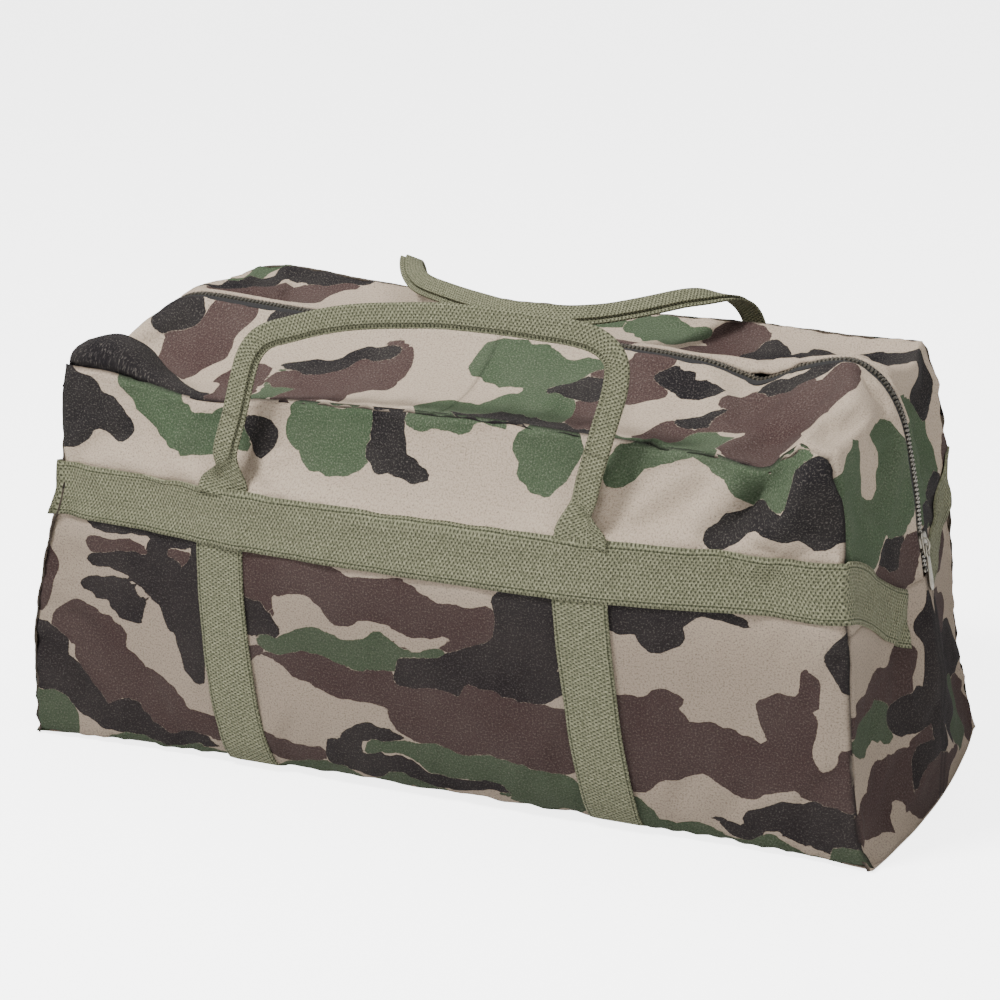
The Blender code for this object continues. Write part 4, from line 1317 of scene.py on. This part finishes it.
def ring(centre, axis_a, axis_b, radius_a, radius_b, tube, arc=2 * math.pi, count=28):
    """A bent round wire: a closed loop, or an arc with closed ends."""
    bm = bmesh.new()
    closed = arc == 2 * math.pi
    steps = count if closed else count + 1
    rows = []
    normal = axis_a.cross(axis_b).normalized()
    for i in range(steps):
        a = arc * i / count
        point = centre + axis_a * (radius_a * math.cos(a)) + axis_b * (radius_b * math.sin(a))
        away = (axis_a * math.cos(a) / radius_a + axis_b * math.sin(a) / radius_b).normalized()
        rows.append([bm.verts.new(point + (away * math.cos(b) + normal * math.sin(b)) * tube)
                     for b in np.linspace(0, 2 * math.pi, 12, endpoint=False)])
    for i in range(steps if closed else steps - 1):
        for j in range(12):
            r0, r1 = rows[i], rows[(i + 1) % steps]
            bm.faces.new((r0[j], r1[j], r1[(j + 1) % 12], r0[(j + 1) % 12]))
    if not closed:
        bm.faces.new(rows[0][::-1])
        bm.faces.new(rows[-1])
    bmesh.ops.recalc_face_normals(bm, faces=bm.faces)
    return bm


def metal_piece(name, parts, node, body):
    """Joins the parts into one smooth-shaded metal piece."""
    mesh = bpy.data.meshes.new(name)
    whole = bmesh.new()
    for bm in parts:
        temp = bpy.data.meshes.new("part")
        bm.to_mesh(temp)
        whole.from_mesh(temp)
        bpy.data.meshes.remove(temp)
        bm.free()
    whole.to_mesh(mesh)
    whole.free()
    for poly in mesh.polygons:
        poly.use_smooth = True
    mesh.set_sharp_from_angle(angle=math.radians(38))
    obj = new_object(name, mesh)
    finish_piece(obj, METAL, "zip_metal", node)
    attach(obj, body)


def end_axes(side):
    """Up and out on an end, where the zip leans inwards a little."""
    return Vector((side * -0.187, 0, 0.982)).normalized(), Vector((side * 0.982, 0, 0.187)).normalized()


SLIDER_AT = Vector((0.3725, 0, 0.2220))
PULL_HINGE = Vector((0.3762, 0, 0.2224))
up, out = end_axes(1)
wings = mirrored([(-0.0098, 0.0034), (-0.0085, 0.0044), (0.0015, 0.0050), (0.0060, 0.0060),
                  (0.0090, 0.0058), (0.0104, 0.0040)])
cheeks = [plate([(-0.004, s * 0.0056), (0.0085, s * 0.0064), (0.0085, s * 0.0052), (-0.004, s * 0.0044)],
                -0.0046, 0.0024, SLIDER_AT, up, out) for s in (1, -1)]
metal_piece("zip_slider_body", [
    plate(wings, 0.0012, 0.0028, SLIDER_AT, up, out),
    plate(wings, -0.0052, -0.0038, SLIDER_AT, up, out),
    *cheeks,
    ring(SLIDER_AT + out * 0.0026, up, out, 0.0058, 0.0034, 0.0009, math.pi, 18)], "zip_slider", "slider")

hang = Vector((0.165, 0, -0.986)).normalized()
face = Vector((0.986, 0, 0.165)).normalized()
tab = mirrored([(0.0095, 0.0016), (0.0115, 0.0028), (0.0160, 0.0034), (0.0300, 0.0044), (0.0350, 0.0042),
                (0.0380, 0.0030), (0.0392, 0.0012)])
metal_piece("zip_pull_tab", [
    ring(PULL_HINGE + hang * 0.0055, hang, ACROSS, 0.0060, 0.0034, 0.0008),
    plate(tab, -0.0008, 0.0008, PULL_HINGE, hang, face),
    ring(PULL_HINGE + hang * 0.0325 + face * 0.0006, hang, ACROSS, 0.0022, 0.0022, 0.0005)],
    "zip_pull", "pull")

crimp = [(-0.0022, 0.0036), (0.0012, 0.0036), (0.0012, -0.0036), (-0.0022, -0.0036)]
stop_x, _, stop_z = zip_line(P_STOP - 0.0015, P_STOP + 0.0015, 3)[0][1]
for side, tag in ((1, "right"), (-1, "left")):
    stop = plate(crimp, -0.0022, 0.0008, Vector((side * stop_x, 0, stop_z)), *end_axes(side))
    metal_piece(tag + "_zip_stop_crimp", [stop], tag + "_zip_stop", "tub")


# ------------------------------------------------------------------ camera, light, floor

CAMERA_YAW = math.radians(23.48)
CAMERA_PITCH = math.radians(17.78)
CAMERA_TILT = math.radians(0.35)
CAMERA_DISTANCE = 2.624
BAG_MIDDLE = Vector((0, 0, 0.18))


def area_light(name, place, size, power):
    data = bpy.data.lights.new(name, "AREA")
    data.shape = "RECTANGLE"
    data.size, data.size_y = size
    data.energy = power
    lamp = new_object(name, data)
    lamp.location = place
    lamp.rotation_euler = (BAG_MIDDLE - Vector(place)).to_track_quat("-Z", "Y").to_euler()


def stage_up():
    bpy.ops.mesh.primitive_plane_add(size=16, location=(0, 0, -0.0008))
    floor = bpy.context.object
    floor.name = "stage_floor"
    # a lit studio sweep: brighter to the eye than the light that it gives back
    white = Surface("stage_white")
    glow = white.times(white.add("ShaderNodeLightPath", "Is Camera Ray"), 3.8)
    floor.data.materials.append(white.finish({
        "Base Color": (0.95, 0.95, 0.95), "Roughness": 1.0, "Emission Color": (1, 1, 1),
        "Emission Strength": glow}))

    area_light("key", (-0.8, -1.35, 2.4), (0.6, 0.5), 114)
    area_light("fill", (2.4, -2.0, 1.5), (1.4, 1.2), 42)
    area_light("top", (0.2, 0.5, 2.8), (2.4, 2.0), 50)
    world = bpy.context.scene.world or bpy.data.worlds.new("world")
    bpy.context.scene.world = world
    world.use_nodes = True
    sky = world.node_tree.nodes["Background"]
    sky.inputs["Color"].default_value = (1, 1, 1, 1)
    sky.inputs["Strength"].default_value = 0.36

    away = Vector((math.sin(CAMERA_YAW) * math.cos(CAMERA_PITCH),
                   -math.cos(CAMERA_YAW) * math.cos(CAMERA_PITCH), math.sin(CAMERA_PITCH)))
    right = Vector((math.cos(CAMERA_YAW), math.sin(CAMERA_YAW), 0))
    up = away.cross(right)
    target = BAG_MIDDLE + right * -0.0057 + up * 0.0334
    right, up = (right * math.cos(CAMERA_TILT) - up * math.sin(CAMERA_TILT),
                 up * math.cos(CAMERA_TILT) + right * math.sin(CAMERA_TILT))
    data = bpy.data.cameras.new("camera")
    data.lens = 108
    data.sensor_width = 36
    camera = new_object("camera", data)
    turn = Matrix((right, up, away)).transposed().to_4x4()
    turn.translation = target + away * CAMERA_DISTANCE
    camera.matrix_world = turn
    bpy.context.scene.camera = camera


stage_up()
